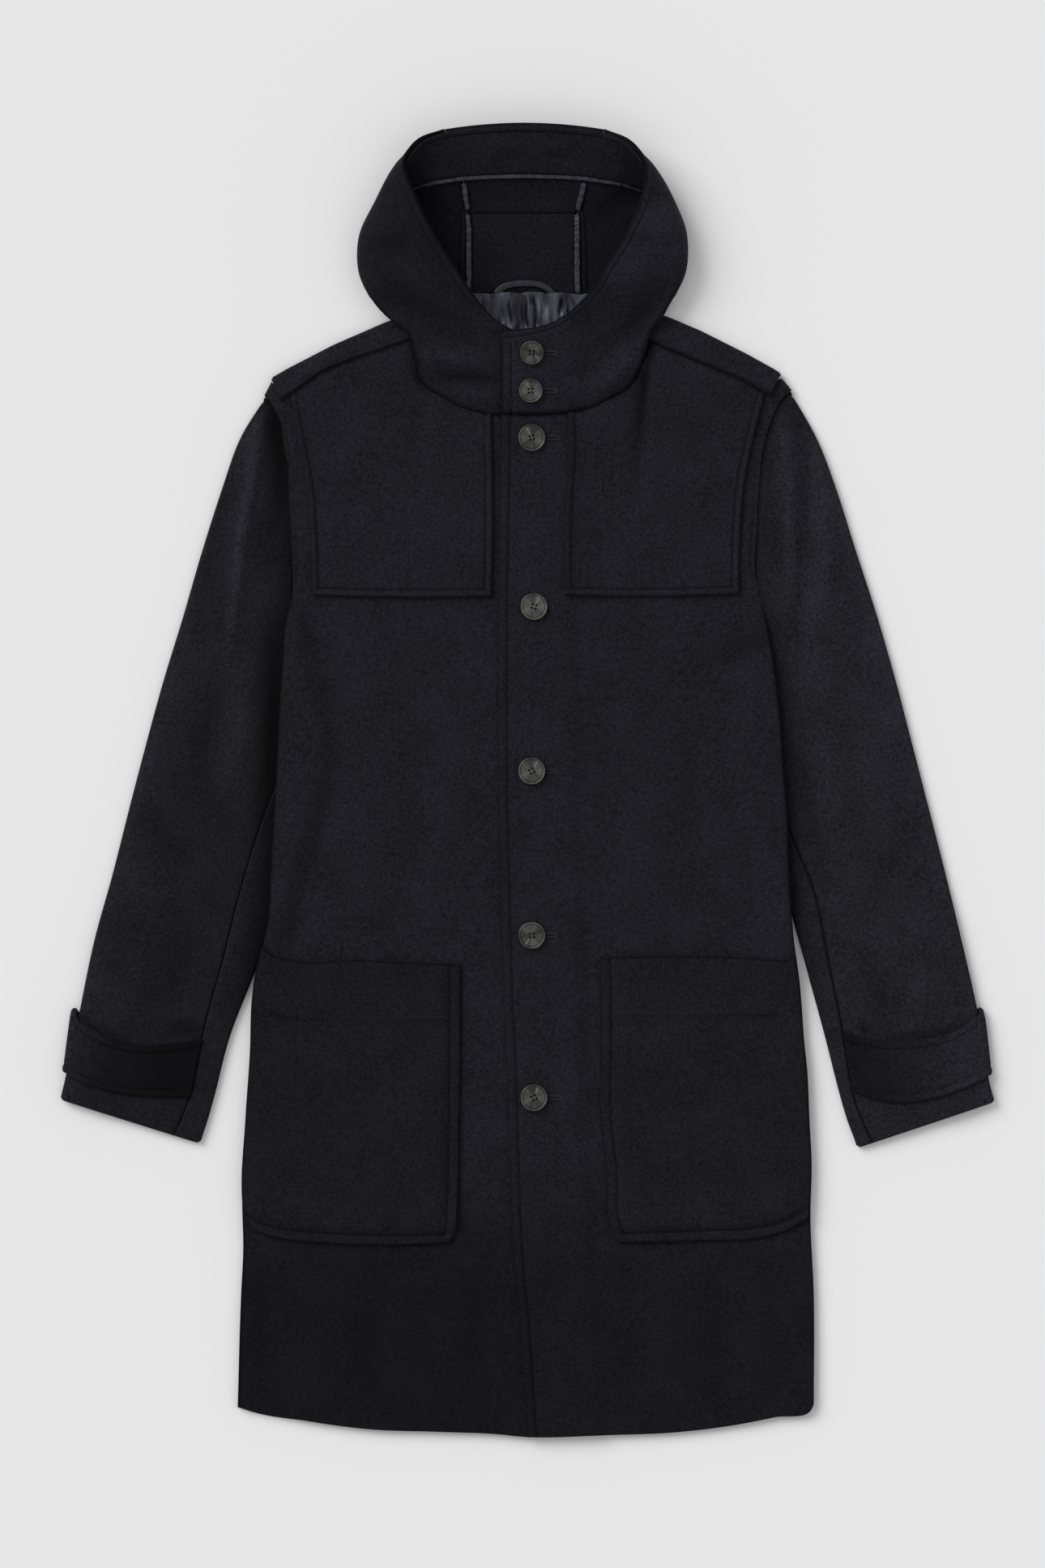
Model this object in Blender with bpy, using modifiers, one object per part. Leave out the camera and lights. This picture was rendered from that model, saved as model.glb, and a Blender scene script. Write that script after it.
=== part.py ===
"""A duffle coat in heavy navy melton, laid flat on its back with its hood propped open.

Sizes are in millimetres and turned into metres when a mesh is made. +X is the wearer's left,
+Y runs from the hem to the hood and +Z is up, with the floor at Z = 0. "right" and "left" in the
names are the wearer's, so the right side is at -X. Each cloth piece is an open surface through the
middle of its cloth, given its thickness by Solidify. Pieces that lie on each other share the body's
grid of points, so that the same clearance lies between them everywhere.
"""

import math

import bmesh
import bpy
import numpy as np
from mathutils import Matrix

MM = 0.001

# Points nearer than this are one point.
WELD = 0.02

# Cloth walls and the clearance between neighbouring pieces.
GAP = 0.3
LAYER_GAP = 0.4
WOOL = 2.8
SLEEVE_WOOL = 2.4
PATCH_WOOL = 2.5
STRAP_WOOL = 2.0
FACING_WOOL = 1.5
SATIN = 1.0
TAPE = 0.8
LOOP_BAND = 1.2

# Heights of the middle of each layer above the floor.
BACK_Z = WOOL / 2
LAYER = WOOL + LAYER_GAP
FRONT_Z = BACK_Z + LAYER
PATCH_RISE = WOOL / 2 + LAYER_GAP + PATCH_WOOL / 2
# The yoke turns over the shoulder from the back's height to two layers above it.
FOLD_TURN = LAYER
FOLD_ROOM = FOLD_TURN + WOOL / 2

# The body's sides lie over the sleeves' inner edges, raised by this much between these heights.
SIDE_LIFT = 8.0
LIFT_TOP = (150, 115)
LIFT_BOTTOM = (-125, -200)

# Lines that run down the body, as (y, x): edges of the panels and of what is sewn on them.
SIDE_RIGHT = [(346, -237), (336, -230), (323, -223), (303, -220), (282, -216), (251, -215), (221, -213),
              (161, -213), (138, -218), (108, -220), (63, -223), (2, -226), (-84, -231), (-122, -233),
              (-148, -238), (-173, -245), (-195, -248), (-246, -250), (-305, -254), (-378, -257),
              (-422, -256), (-465, -258), (-563, -261)]
INNER_RIGHT = [(371, -229), (342, -223), (323, -215), (303, -213), (161, -205), (138, -211), (119, -212),
               (97, -207), (75, -199), (46, -191), (24, -189), (-1, -193), (-27, -200), (-100, -221),
               (-122, -226), (-144, -231), (-173, -237), (-203, -240), (-305, -246), (-563, -253)]
PATCH_SIDE_RIGHT = [(371, -215), (342, -212), (330, -209), (303, -207), (292, -201), (262, -198),
                    (231, -196), (166, -194), (119, -188), (75, -174), (24, -163), (-1, -167),
                    (-27, -174), (-100, -196), (-144, -208), (-173, -214), (-305, -224), (-563, -232)]
NECK_RIGHT = [(420, -107), (397, -106), (389, -104), (373, -101), (360, -97), (166, -100), (-160, -120),
              (-417, -125), (-563, -130)]
POCKET_RIGHT = [(437, -56), (334, -52), (166, -58), (-166, -60), (-246, -61), (-372, -64), (-563, -68)]
PATCH_FRONT_RIGHT = [(439, -34), (330, -32), (221, -31), (166, -32), (-160, -36), (-265, -33),
                     (-417, -28), (-510, -20), (-563, -16)]
OPENING = [(439, -23), (331, -23), (272, -24), (160, -26), (-136, -23), (-200, -21), (-265, -18),
           (-432, -12), (-501, -6), (-590, 0)]
LAP_EDGE = [(439, 36), (331, 36), (298, 37), (241, 34), (166, 33), (-136, 40), (-265, 43), (-432, 50),
            (-590, 60)]
POCKET_LEFT = [(437, 60), (336, 62), (166, 63), (-161, 66), (-308, 66), (-351, 71), (-404, 74),
               (-563, 82)]
NECK_LEFT = [(421, 111), (395, 109), (379, 102), (364, 98), (166, 98), (-160, 118), (-417, 125),
             (-563, 130)]
PATCH_SIDE_LEFT = [(375, 213), (346, 209), (327, 206), (303, 202), (272, 196), (241, 193), (200, 191),
                   (167, 191), (119, 188), (75, 180), (24, 176), (-27, 184), (-100, 203), (-144, 213),
                   (-173, 216), (-305, 226), (-563, 232)]
INNER_LEFT = [(366, 226), (346, 218), (324, 213), (302, 208), (272, 203), (244, 200), (167, 201),
              (141, 208), (119, 213), (97, 210), (75, 206), (46, 203), (24, 203), (-1, 205), (-27, 210),
              (-70, 222), (-100, 229), (-135, 232), (-173, 236), (-203, 239), (-261, 244), (-305, 246),
              (-563, 250)]
SIDE_LEFT = [(351, 238), (341, 229), (324, 221), (302, 214), (272, 210), (244, 208), (221, 207),
             (184, 206), (167, 210), (132, 217), (93, 223), (48, 228), (3, 231), (-32, 234), (-70, 235),
             (-109, 237), (-144, 240), (-173, 244), (-203, 247), (-232, 249), (-261, 252), (-305, 254),
             (-349, 256), (-392, 255), (-465, 258), (-562, 258)]

# The columns of the body's grid: each line, and the cells between it and the next.
COLUMNS = [(SIDE_RIGHT, 1), (INNER_RIGHT, 1), (PATCH_SIDE_RIGHT, 2), (NECK_RIGHT, 3), (POCKET_RIGHT, 1),
           (PATCH_FRONT_RIGHT, 1), (OPENING, 3), (LAP_EDGE, 2), (POCKET_LEFT, 2), (NECK_LEFT, 2),
           (PATCH_SIDE_LEFT, 1), (INNER_LEFT, 1), (SIDE_LEFT, 0)]
COLUMN_NAMES = ["side_r", "inner_r", "patch_side_r", "neck_r", "pocket_r", "patch_front_r", "opening",
                "lap", "pocket_l", "neck_l", "patch_side_l", "inner_l", "side_l"]

# Lines that run across the body, as (x, y), from the hem up to the shoulders.
HEM = [(-261, -565), (-249, -569), (-195, -578), (-140, -585), (-85, -587), (-31, -589), (3, -592),
       (77, -590), (128, -588), (187, -581), (223, -574), (256, -567), (258, -562)]
POCKET_BOTTOM = [(-256, -398), (-243, -405), (-228, -411), (-185, -416), (-121, -419), (-65, -417),
                 (74, -417), (120, -416), (164, -415), (206, -413), (230, -407), (255, -394)]
POCKET_TOP = [(-239, -148), (-232, -154), (-222, -160), (-207, -163), (-153, -162), (-60, -166),
              (65, -160), (196, -160), (234, -162), (242, -159)]
UNDERARM = [(-213, 161), (-194, 166), (191, 167), (210, 167)]
NECK_SEAM = [(-223, 323), (-183, 334), (-139, 347), (-97, 360), (-86, 350), (-66, 339), (-47, 333),
             (-32, 330), (1, 330), (24, 331), (50, 335), (73, 343), (89, 352), (98, 364), (138, 352),
             (182, 338), (221, 324)]
WING_EDGE = [(-231, 338), (-223, 342), (-205, 354), (-189, 366), (-164, 377), (-134, 387), (-106, 397),
             (-52, 392), (50, 392), (110, 395), (135, 384), (166, 371), (196, 358), (218, 346),
             (230, 341)]
SHOULDER = [(-237, 346), (-229, 363), (-215, 371), (-174, 392), (-128, 412), (-96, 424), (-53, 437),
            (0, 439), (54, 437), (96, 424), (124, 418), (155, 405), (197, 384), (226, 368), (238, 351)]
# Levels between the underarm and the pocket's top, close where the side climbs over the sleeve.
BODY_LEVELS = [-125, -90, -45, 0, 40, 80, 115, 141]
ROWS_HEM, ROWS_POCKET, ROWS_CHEST, ROWS_NECK, ROWS_WING = 3, 4, 5, 2, 1
YOKE_SEAM_ROW = 2

# The neck seam between the corners of the neck opening.
NECK_SPAN = (-97, 98)

# How far edges are drawn in from the grid's lines.
SEAM_TRIM = 0.3
LAP_TRIM = 3.0
PATCH_TRIM = 0.6
PATCH_SIDE_TRIM = 0.5
LINING_TRIM = 1.0

# The hood. Each row is one section of a side panel, from the crown seam round to the front edge:
# the rim's edge, the outermost bulge, where it lies down on the floor, and the inner seam.
# round tells how full the bulge is: 0 is straight and 1 is a half circle.
HOOD_FIELDS = ("rim_x", "rim_y", "rim_z", "out_x", "out_y", "out_z", "foot_x", "foot_y", "foot_z",
               "seam_x", "seam_y", "seam_z", "round")
HOOD_RIGHT = [
    (-75, 587.5, 31, -71, 573, 26, -58, 541, 13, -54, 511, 1.4, 0.0),
    (-94, 577, 36, -95, 571, 29, -82, 536, 11, -54, 504, 1.4, 0.3),
    (-106, 565, 41, -111, 560, 27, -100, 532, 5, -53, 497, 1.4, 0.7),
    (-110, 550, 45, -123, 545, 23, -112, 527, 1.7, -53, 490, 1.4, 1.0),
    (-101, 525, 49, -136, 520, 20, -122, 514, 1.7, -53, 480, 1.4, 1.0),
    (-85, 492, 49, -150, 490, 20, -136, 487, 1.7, -53, 467, 1.4, 1.0),
    (-66, 462, 43, -151, 459, 20, -137, 457, 1.7, -53, 453, 1.4, 1.0),
    (-50, 438, 33, -141, 435, 18, -128, 437, 1.7, -54, 440, 1.4, 1.0),
]
HOOD_LEFT = [
    (69, 587.5, 31, 65, 573, 26, 52, 541, 13, 45, 511, 1.4, 0.0),
    (88, 576, 36, 89, 570, 29, 77, 536, 11, 45, 504, 1.4, 0.3),
    (100, 564, 41, 106, 559, 27, 95, 532, 5, 45, 497, 1.4, 0.7),
    (106, 548, 45, 119, 543, 23, 108, 527, 1.7, 45, 490, 1.4, 1.0),
    (103, 526, 49, 131, 521, 20, 118, 514, 1.7, 45, 480, 1.4, 1.0),
    (90, 493, 49, 142, 492, 20, 129, 488, 1.7, 45, 467, 1.4, 1.0),
    (72, 463, 43, 142, 460, 20, 128, 458, 1.7, 45, 453, 1.4, 1.0),
    (57, 439, 33, 132, 436, 18, 120, 438, 1.7, 46, 440, 1.4, 1.0),
]
# Below the bowl a side panel lies over the neck. Two sections reach out over the shoulder, as
# (rim x, rim y, outer x, outer y), and the rest end on the points of the neck seam. The free edge
# of those runs evenly along its own line.
HOOD_SHOULDER_RIGHT = [(-34, 419, -127, 417), (-24, 411, -110, 404)]
HOOD_SHOULDER_LEFT = [(38, 421, 123, 419), (31, 416, 113, 406)]
FREE_EDGE_RIGHT = [(-16, 406), (0, 397), (12, 389), (22, 380), (29, 368), (32, 350)]
FREE_EDGE_LEFT = [(24, 412), (12, 408), (0, 406), (-16, 405), (-23, 404)]
NECK_TRIM = 0.6
HOOD_TRIM = 0.7
HOOD_BACK_TRIM = 1.7
LAP_SLOPE = 0.2
LAP_STEP_X = (37, 49)
# The upper lap climbs by this much more within this distance of the neck seam.
HOOD_EXTRA_CLEARANCE = 0.5
HOOD_EXTRA_LENGTH = 15
HOOD_UPPER = (0, 0.2, 0.4, 0.6, 0.8, 0.93, 1)
HOOD_TURN = (30, 60, 90)
HOOD_FLOOR = (0.33, 0.66, 1)
HOOD_FOOT = len(HOOD_UPPER) + len(HOOD_TURN) - 1
# The facing lies under these points of the sections, and reaches this many sections down each side.
FACING_LINES = (0, 3, 6, HOOD_FOOT)
FACING_SECTIONS = 3
FACING_GAP = 1.1
FACING_RIM_TRIM = 2.5
FACING_EDGE_TRIM = 0.5
HOOD_HALVES = 2
CROWN_COLUMNS = 6
CROWN_BULGE = 3.0

# The sleeves. Each row is one section across the flattened tube: its outer edge, its middle, its
# inner edge, how far the forearm seam lies in from the inner edge, and how far the tube puffs up.
SLEEVE_FIELDS = ("outer_x", "outer_y", "mid_x", "mid_y", "inner_x", "inner_y", "seam_in", "puff")
SLEEVE_RIGHT = [
    (-258, 308, -230, 228, -221, 139, 32, 0.6),
    (-274, 265, -241, 186, -223, 116, 28, 1.0),
    (-293, 206, -251, 145, -214, 95, 22, 1.0),
    (-310, 148, -256, 102, -202, 65, 20, 1.0),
    (-328, 89, -262, 52, -194, 24, 26, 1.0),
    (-344, 31, -271, 5, -197, -10, 31, 1.0),
    (-359, -27, -284, -42, -206, -45, 35, 1.0),
    (-374, -86, -300, -100, -226, -100, 33, 1.0),
    (-390, -144, -318, -163, -246, -165, 30, 1.0),
    (-403, -210, -352, -240, -266, -228, 21, 1.0),
    (-415, -266, -358, -284, -281, -284, 19, 0.9),
    (-420, -287, -364, -306, -297, -327, 20, 0.8),
]
SLEEVE_LEFT = [
    (260, 308, 228, 228, 218, 141, 32, 0.6),
    (277, 265, 241, 188, 222, 116, 28, 1.0),
    (296, 206, 253, 147, 217, 95, 22, 1.0),
    (315, 148, 262, 106, 211, 70, 17, 1.0),
    (332, 89, 270, 58, 208, 35, 15, 1.0),
    (347, 31, 279, 10, 210, -5, 14, 1.0),
    (362, -27, 291, -40, 219, -45, 16, 1.0),
    (377, -86, 306, -98, 235, -100, 23, 1.0),
    (391, -144, 322, -160, 251, -165, 20, 1.0),
    (405, -206, 342, -238, 267, -228, 17, 1.0),
    (416, -268, 344, -291, 282, -284, 15, 0.9),
    (421, -290, 362, -310, 299, -330, 12, 0.8),
]
ARMHOLE_TRIM = 1.9
UNDERARM_TRIM = 3.0
UNDERARM_Y = {"right": 161, "left": 167}
ARMHOLE_SEAM_IN = 30.0
ARMHOLE_POINTS = 33
# Points across a section: to measure its width, over the top sleeve, round its folded edge, on its
# underside, and on the under sleeve's upper and lower walls.
WIDTH_POINTS = 9
TOP_POINTS = 7
TURN_ANGLES = (30, 60, 90, 120, 150)
TOP_BACK_POINTS = 3
UNDER_FRONT_POINTS = 2
UNDER_BACK_POINTS = 5
# The two sleeve pieces are drawn further apart where the tube twists into the armhole.
SLEEVE_SEAM_GAP = [0.8, 0.8, 1.0, 0.9, 0.6] + [0.5] * 8
# How far its inner edge is lifted off the floor there.
SLEEVE_LIFT = [1.4, 0.4, 0.5] + [0.0] * 10
# That lift comes on over the inner part of the width, and room for the strap over the outer half.
LIFTED_FROM = 0.7
STRAP_ROOM_TO = 0.5
STRAP_ROOM_FADE = 0.22
FOLD_RADIUS = 1.8
PUFF = 2.0
PUFF_POWER = 0.8
BACK_SEAM_IN = 25
STRAP_ROWS = (9, 10)
STRAP_RISE = STRAP_WOOL + GAP
STRAP_SLACK = 2.0
STRAP_UNDER = 22

BUTTON_LARGE = 12.5
BUTTON_SMALL = 11.0
BUTTONS_FRONT = [(4, 308), (6, 156), (4, 8), (4, -140), (6, -286)]
BUTTONS_HOOD = [(4, 384), (3, 350)]
BUTTON_STEPS = 20
# Profile of a button, as shares of its radius: from the middle of its face, over the rim, to its back.
BUTTON_PROFILE = [(0, 0.21), (0.55, 0.21), (0.7, 0.26), (0.8, 0.33), (0.9, 0.34), (1.0, 0.25),
                  (1.0, 0.13), (0.85, 0.0), (0, 0.0)]

LOOP_PATH = [(-26, 441), (-24, 446), (-18, 450), (-3, 451), (13, 450), (20, 446), (23, 441)]
LOOP_WIDTH = 7.0
TAPE_WIDTH = 6.6
# Where the upper tapes lie on their seams, as shares of them, and how far the lower ones end short.
TAPE_SHARES = (0.26, 0.55, 0.84)
TAPE_TRIM_TOP = 2.0
TAPE_TRIM_BOTTOM = 2.5
BINDING_WIDTH = 4.5

NAVY = (0.012, 0.012, 0.018)
SLATE = (0.05, 0.052, 0.075)
HORN = (0.035, 0.035, 0.04)


# ---------------------------------------------------------------- shared helpers

def table(rows, fields):
    """Rows of numbers as one array for each named column."""
    values = np.array(rows, dtype=float)
    return {field: values[:, i] for i, field in enumerate(fields)}


def smooth_step(t):
    t = np.clip(t, 0, 1)
    return t * t * (3 - 2 * t)


def through(points, count):
    """count points evenly spread along a straight-sided line through the given points."""
    points = np.array(points, dtype=float)
    steps = np.linalg.norm(np.diff(points, axis=0), axis=1)
    along = np.concatenate([[0], np.cumsum(steps)])
    wanted = np.linspace(0, along[-1], count)
    return np.stack([np.interp(wanted, along, points[:, i]) for i in range(points.shape[1])], axis=1)


def refined(rows, times):
    """A table's rows with smooth rows put between them (Catmull-Rom), times cells for each step."""
    rows = np.array(rows, dtype=float)
    padded = np.vstack([2 * rows[0] - rows[1], rows, 2 * rows[-1] - rows[-2]])
    out = []
    for i in range(len(rows) - 1):
        a, b, c, d = padded[i:i + 4]
        for t in np.arange(times) / times:
            out.append(0.5 * (2 * b + (c - a) * t + (2 * a - 5 * b + 4 * c - d) * t ** 2
                              + (3 * b - 3 * c + d - a) * t ** 3))
    out.append(rows[-1])
    return np.array(out)


def normals_of(grid):
    """Unit normals of a grid of points, from its rows and columns."""
    across = np.gradient(grid, axis=1)
    down = np.gradient(grid, axis=0)
    normal = np.cross(across, down)
    normal /= np.linalg.norm(normal, axis=2, keepdims=True)
    return normal


def moved_out(grid, distance):
    """The grid moved along its normals, on the side that faces up."""
    normal = normals_of(grid)
    if normal[..., 2].mean() < 0:
        normal = -normal
    return grid + normal * distance


def trimmed(grid, top=0.0, bottom=0.0, left=0.0, right=0.0):
    """The grid with its border points drawn in: bottom is row 0 and left is column 0."""
    grid = grid.copy()

    def draw_in(edge, inside, amount):
        step = inside - edge
        return edge + step * (amount / np.maximum(np.linalg.norm(step, axis=-1, keepdims=True), 1e-6))

    if bottom:
        grid[0] = draw_in(grid[0], grid[1], bottom)
    if top:
        grid[-1] = draw_in(grid[-1], grid[-2], top)
    if left:
        grid[:, 0] = draw_in(grid[:, 0], grid[:, 1], left)
    if right:
        grid[:, -1] = draw_in(grid[:, -1], grid[:, -2], right)
    return grid


def clear_scene():
    for item in list(bpy.data.objects):
        bpy.data.objects.remove(item, do_unlink=True)


def new_collection(name):
    collection = bpy.data.collections.new(name)
    bpy.context.scene.collection.children.link(collection)
    return collection


def new_material(name, colour, roughness, metallic=0.0):
    material = bpy.data.materials.new(name)
    material.use_nodes = True
    shader = material.node_tree.nodes["Principled BSDF"]
    shader.inputs["Base Color"].default_value = (*colour, 1.0)
    shader.inputs["Roughness"].default_value = roughness
    shader.inputs["Metallic"].default_value = metallic
    return material


def cloth(name, grids, thickness, colour, roughness=0.9):
    """A cloth piece: one or more grids of points (with an optional mask of kept cells) welded into
    one open surface, then thickened equally to both sides."""
    mesh_work = bmesh.new()
    for entry in grids:
        grid, keep = entry if isinstance(entry, tuple) else (entry, None)
        rows, columns = grid.shape[:2]
        used = np.ones((rows - 1, columns - 1), dtype=bool) if keep is None else keep
        corners = {}
        for i, j in zip(*np.nonzero(used)):
            loop = [(i, j), (i, j + 1), (i + 1, j + 1), (i + 1, j)]
            for key in loop:
                if key not in corners:
                    corners[key] = mesh_work.verts.new(grid[key] * MM)
            mesh_work.faces.new([corners[key] for key in loop])
    bmesh.ops.remove_doubles(mesh_work, verts=mesh_work.verts, dist=WELD * MM)
    bmesh.ops.recalc_face_normals(mesh_work, faces=mesh_work.faces)
    mesh = bpy.data.meshes.new(name)
    mesh_work.to_mesh(mesh)
    mesh_work.free()
    mesh.shade_smooth()
    item = bpy.data.objects.new(name, mesh)
    item.data.materials.append(new_material(name, colour, roughness))
    coat.objects.link(item)
    solidify = item.modifiers.new("cloth", "SOLIDIFY")
    solidify.thickness = thickness * MM
    solidify.offset = 0.0
    solidify.use_even_offset = True
    return item


# ---------------------------------------------------------------- the body's grid

def line_x(line):
    """x of a line that runs down the body, as a function of y."""
    points = sorted(line)
    return lambda y: np.interp(y, [p[0] for p in points], [p[1] for p in points])


def line_y(line):
    """y of a line that runs across the body, as a function of x."""
    points = sorted(line)
    return lambda x: np.interp(x, [p[0] for p in points], [p[1] for p in points])


def mixed(first, second, share):
    return lambda value: (1 - share) * first(value) + share * second(value)


def column_lines():
    """Functions x(y) of all the grid's columns, and the index of each named one."""
    lines = []
    index = {}
    for i, (line, cells) in enumerate(COLUMNS):
        index[COLUMN_NAMES[i]] = len(lines)
        if cells == 0:
            lines.append(line_x(line))
        for k in range(cells):
            lines.append(mixed(line_x(line), line_x(COLUMNS[i + 1][0]), k / cells))
    return lines, index


def row_lines():
    """Functions y(x) of all the grid's rows from the hem up, and the index of each named one."""
    lines = []
    index = {}

    def between(name, low, high, cells):
        index[name] = len(lines)
        for k in range(cells):
            lines.append(mixed(line_y(low), line_y(high), k / cells))

    between("hem", HEM, POCKET_BOTTOM, ROWS_HEM)
    between("pocket_bottom", POCKET_BOTTOM, POCKET_TOP, ROWS_POCKET)
    between("pocket_top", POCKET_TOP, UNDERARM, 1)
    for level in BODY_LEVELS:
        lines.append(lambda x, level=level: np.full_like(x, level))
    between("underarm", UNDERARM, NECK_SEAM, ROWS_CHEST)
    between("neck", NECK_SEAM, WING_EDGE, ROWS_NECK)
    between("wing", WING_EDGE, SHOULDER, ROWS_WING)
    index["shoulder"] = len(lines)
    lines.append(line_y(SHOULDER))
    return lines, index


def body_plan():
    """Where every row meets every column, found by stepping between the two, as (rows, columns, 2)."""
    columns, column_index = column_lines()
    rows, row_index = row_lines()
    plan = np.zeros((len(rows), len(columns), 2))
    for i, row in enumerate(rows):
        for j, column in enumerate(columns):
            y = float(row(np.array(0.0)))
            for _ in range(60):
                y = 0.5 * y + 0.5 * float(row(np.array(float(column(y)))))
            plan[i, j] = column(y), y
    return plan, row_index, column_index


def fold_inset(plan, rows, columns):
    """The plan with the shoulder line drawn in by the room that the yoke's fold needs."""
    plan = plan.copy()
    top = rows["shoulder"]
    ranges = ((columns["inner_r"], columns["neck_r"] + 1), (columns["neck_l"], columns["inner_l"] + 1))
    for start, stop in ranges:
        step = plan[top - 1, start:stop] - plan[top, start:stop]
        length = np.linalg.norm(step, axis=1, keepdims=True)
        plan[top, start:stop] += step / length * FOLD_ROOM
    return plan


def side_lift(plan, columns):
    """How far the body is raised at each point of its grid, over the sleeves' inner edges."""
    y = plan[..., 1]
    rising = smooth_step((LIFT_TOP[0] - y) / (LIFT_TOP[0] - LIFT_TOP[1]))
    falling = smooth_step((y - LIFT_BOTTOM[1]) / (LIFT_BOTTOM[0] - LIFT_BOTTOM[1]))
    lift = SIDE_LIFT * np.minimum(rising, falling)
    over = np.zeros(plan.shape[1], dtype=bool)
    over[:columns["inner_r"] + 1] = True
    over[columns["inner_l"]:] = True
    return np.where(over[None, :], lift, 0.0)


def lap_step(plan, columns):
    """The left front climbs over the right one, between the opening and the lap's edge."""
    step = np.zeros(plan.shape[:2])
    step[:, columns["opening"]:columns["lap"] + 1] = LAYER
    return step


def at_height(plan, height):
    return np.concatenate([plan, np.broadcast_to(height, plan.shape[:2])[..., None]], axis=2)


# ---------------------------------------------------------------- body pieces

def body_pieces(plan, rows, columns):
    plan = fold_inset(plan, rows, columns)
    lift = side_lift(plan, columns)
    back_grid = at_height(plan, BACK_Z + lift)
    right_grid = at_height(plan, FRONT_Z + lift)
    left_grid = at_height(plan, FRONT_Z + lift + lap_step(plan, columns))
    neck, top = rows["neck"], rows["shoulder"]
    yoke_row = rows["underarm"] + YOKE_SEAM_ROW

    cloth("back", [trimmed(back_grid[:yoke_row + 1], top=SEAM_TRIM)], WOOL, NAVY)
    yoke(back_grid, yoke_row, rows, columns)

    def outer_mask(first, last):
        """Cells of a front: all below the neck seam, above it only those outside the neck."""
        keep = np.ones((top, last - first), dtype=bool)
        start = max(columns["neck_r"] - first, 0)
        stop = min(columns["neck_l"] - first, last - first)
        keep[neck:, start:stop] = False
        return keep

    first, last = 0, columns["lap"]
    front_right = trimmed(right_grid[:, first:last + 1], right=LAP_TRIM)
    cloth("front_right", [(front_right, outer_mask(first, last))], WOOL, NAVY)
    first, last = columns["opening"], columns["side_l"]
    cloth("front_left", [(left_grid[:, first:last + 1], outer_mask(first, last))], WOOL, NAVY)

    chest_patch("chest_patch_right", right_grid, rows, columns, "patch_side_r", "patch_front_r", "r")
    chest_patch("chest_patch_left", left_grid, rows, columns, "lap", "patch_side_l", "l")
    pocket("pocket_right", right_grid, rows, columns["side_r"], columns["pocket_r"], left=0.0,
           right=PATCH_SIDE_TRIM)
    pocket("pocket_left", left_grid, rows, columns["pocket_l"], columns["side_l"], left=PATCH_SIDE_TRIM,
           right=0.0)
    lining(back_grid, rows, columns)


def yoke(grid, yoke_row, rows, columns):
    """The back yoke lies on the floor, turns over each shoulder and ends in a wing on the front."""
    wing_row, top = rows["wing"], rows["shoulder"]
    grids = [grid[yoke_row:]]
    for first, last in ((columns["inner_r"], columns["neck_r"]), (columns["neck_l"], columns["inner_l"])):
        edge = grid[top, first:last + 1]
        inward = grid[top - 1, first:last + 1] - edge
        inward[:, 2] = 0
        inward /= np.linalg.norm(inward, axis=1, keepdims=True)
        turn = []
        for angle in np.radians([0, 45, 90, 135, 180]):
            point = edge - inward * (FOLD_TURN * math.sin(angle))
            point = point + np.array([0, 0, FOLD_TURN * (1 - math.cos(angle))])
            turn.append(point)
        wing = grid[wing_row:top + 1, first:last + 1][::-1] + np.array([0, 0, 2 * FOLD_TURN])
        grids.append(np.array(turn))
        grids.append(wing)
    cloth("yoke", grids, WOOL, NAVY)


def chest_patch(name, grid, rows, columns, first_name, last_name, side):
    first, last = columns[first_name], columns[last_name]
    neck = columns["neck_" + side]
    low, high = rows["underarm"], rows["wing"]
    patch = grid[low:high + 1, first:last + 1] + np.array([0, 0, PATCH_RISE])
    keep = np.ones((high - low, last - first), dtype=bool)
    inner = slice(neck - first, None) if side == "r" else slice(None, neck - first)
    keep[rows["neck"] - low:, inner] = False
    patch = trimmed(patch, top=PATCH_TRIM, left=PATCH_SIDE_TRIM, right=PATCH_SIDE_TRIM)
    row = rows["neck"] - low
    step = patch[row - 1, inner] - patch[row, inner]
    patch[row, inner] += step / np.linalg.norm(step, axis=1, keepdims=True) * PATCH_TRIM
    cloth(name, [(patch, keep)], PATCH_WOOL, NAVY)


def pocket(name, grid, rows, first, last, left, right):
    low, high = rows["pocket_bottom"], rows["pocket_top"]
    bag = grid[low:high + 1, first:last + 1] + np.array([0, 0, PATCH_RISE])
    cloth(name, [trimmed(bag, left=left, right=right)], PATCH_WOOL, NAVY)


def lining(grid, rows, columns):
    """The lining shows only inside the back of the neck."""
    first, last = columns["neck_r"] + 1, columns["neck_l"] - 1
    piece = grid[rows["wing"]:, first:last + 1]
    piece = piece + np.array([0, 0, WOOL / 2 + LAYER_GAP + SATIN / 2])
    cloth("lining", [trimmed(piece, top=LINING_TRIM)], SATIN, SLATE, 0.4)


# ---------------------------------------------------------------- the hood

def lap_height(x, y):
    """Height of the lower hood lap: it climbs from the neck seam toward the rim at a steady slope."""
    seam = line_y(NECK_SEAM)(np.clip(x, *NECK_SPAN))
    return FRONT_Z + LAP_SLOPE * np.maximum(y - seam, 0)


def lap_step_height(x, y):
    """Extra height of the hood's left side, which lies over the right one at the front."""
    start, stop = LAP_STEP_X
    seam = line_y(NECK_SEAM)(np.clip(x, *NECK_SPAN))
    over = np.clip((stop - x) / (stop - start), 0, 1)
    return over * (LAYER + HOOD_EXTRA_CLEARANCE * np.clip((y - seam) / HOOD_EXTRA_LENGTH, 0, 1))


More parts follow.
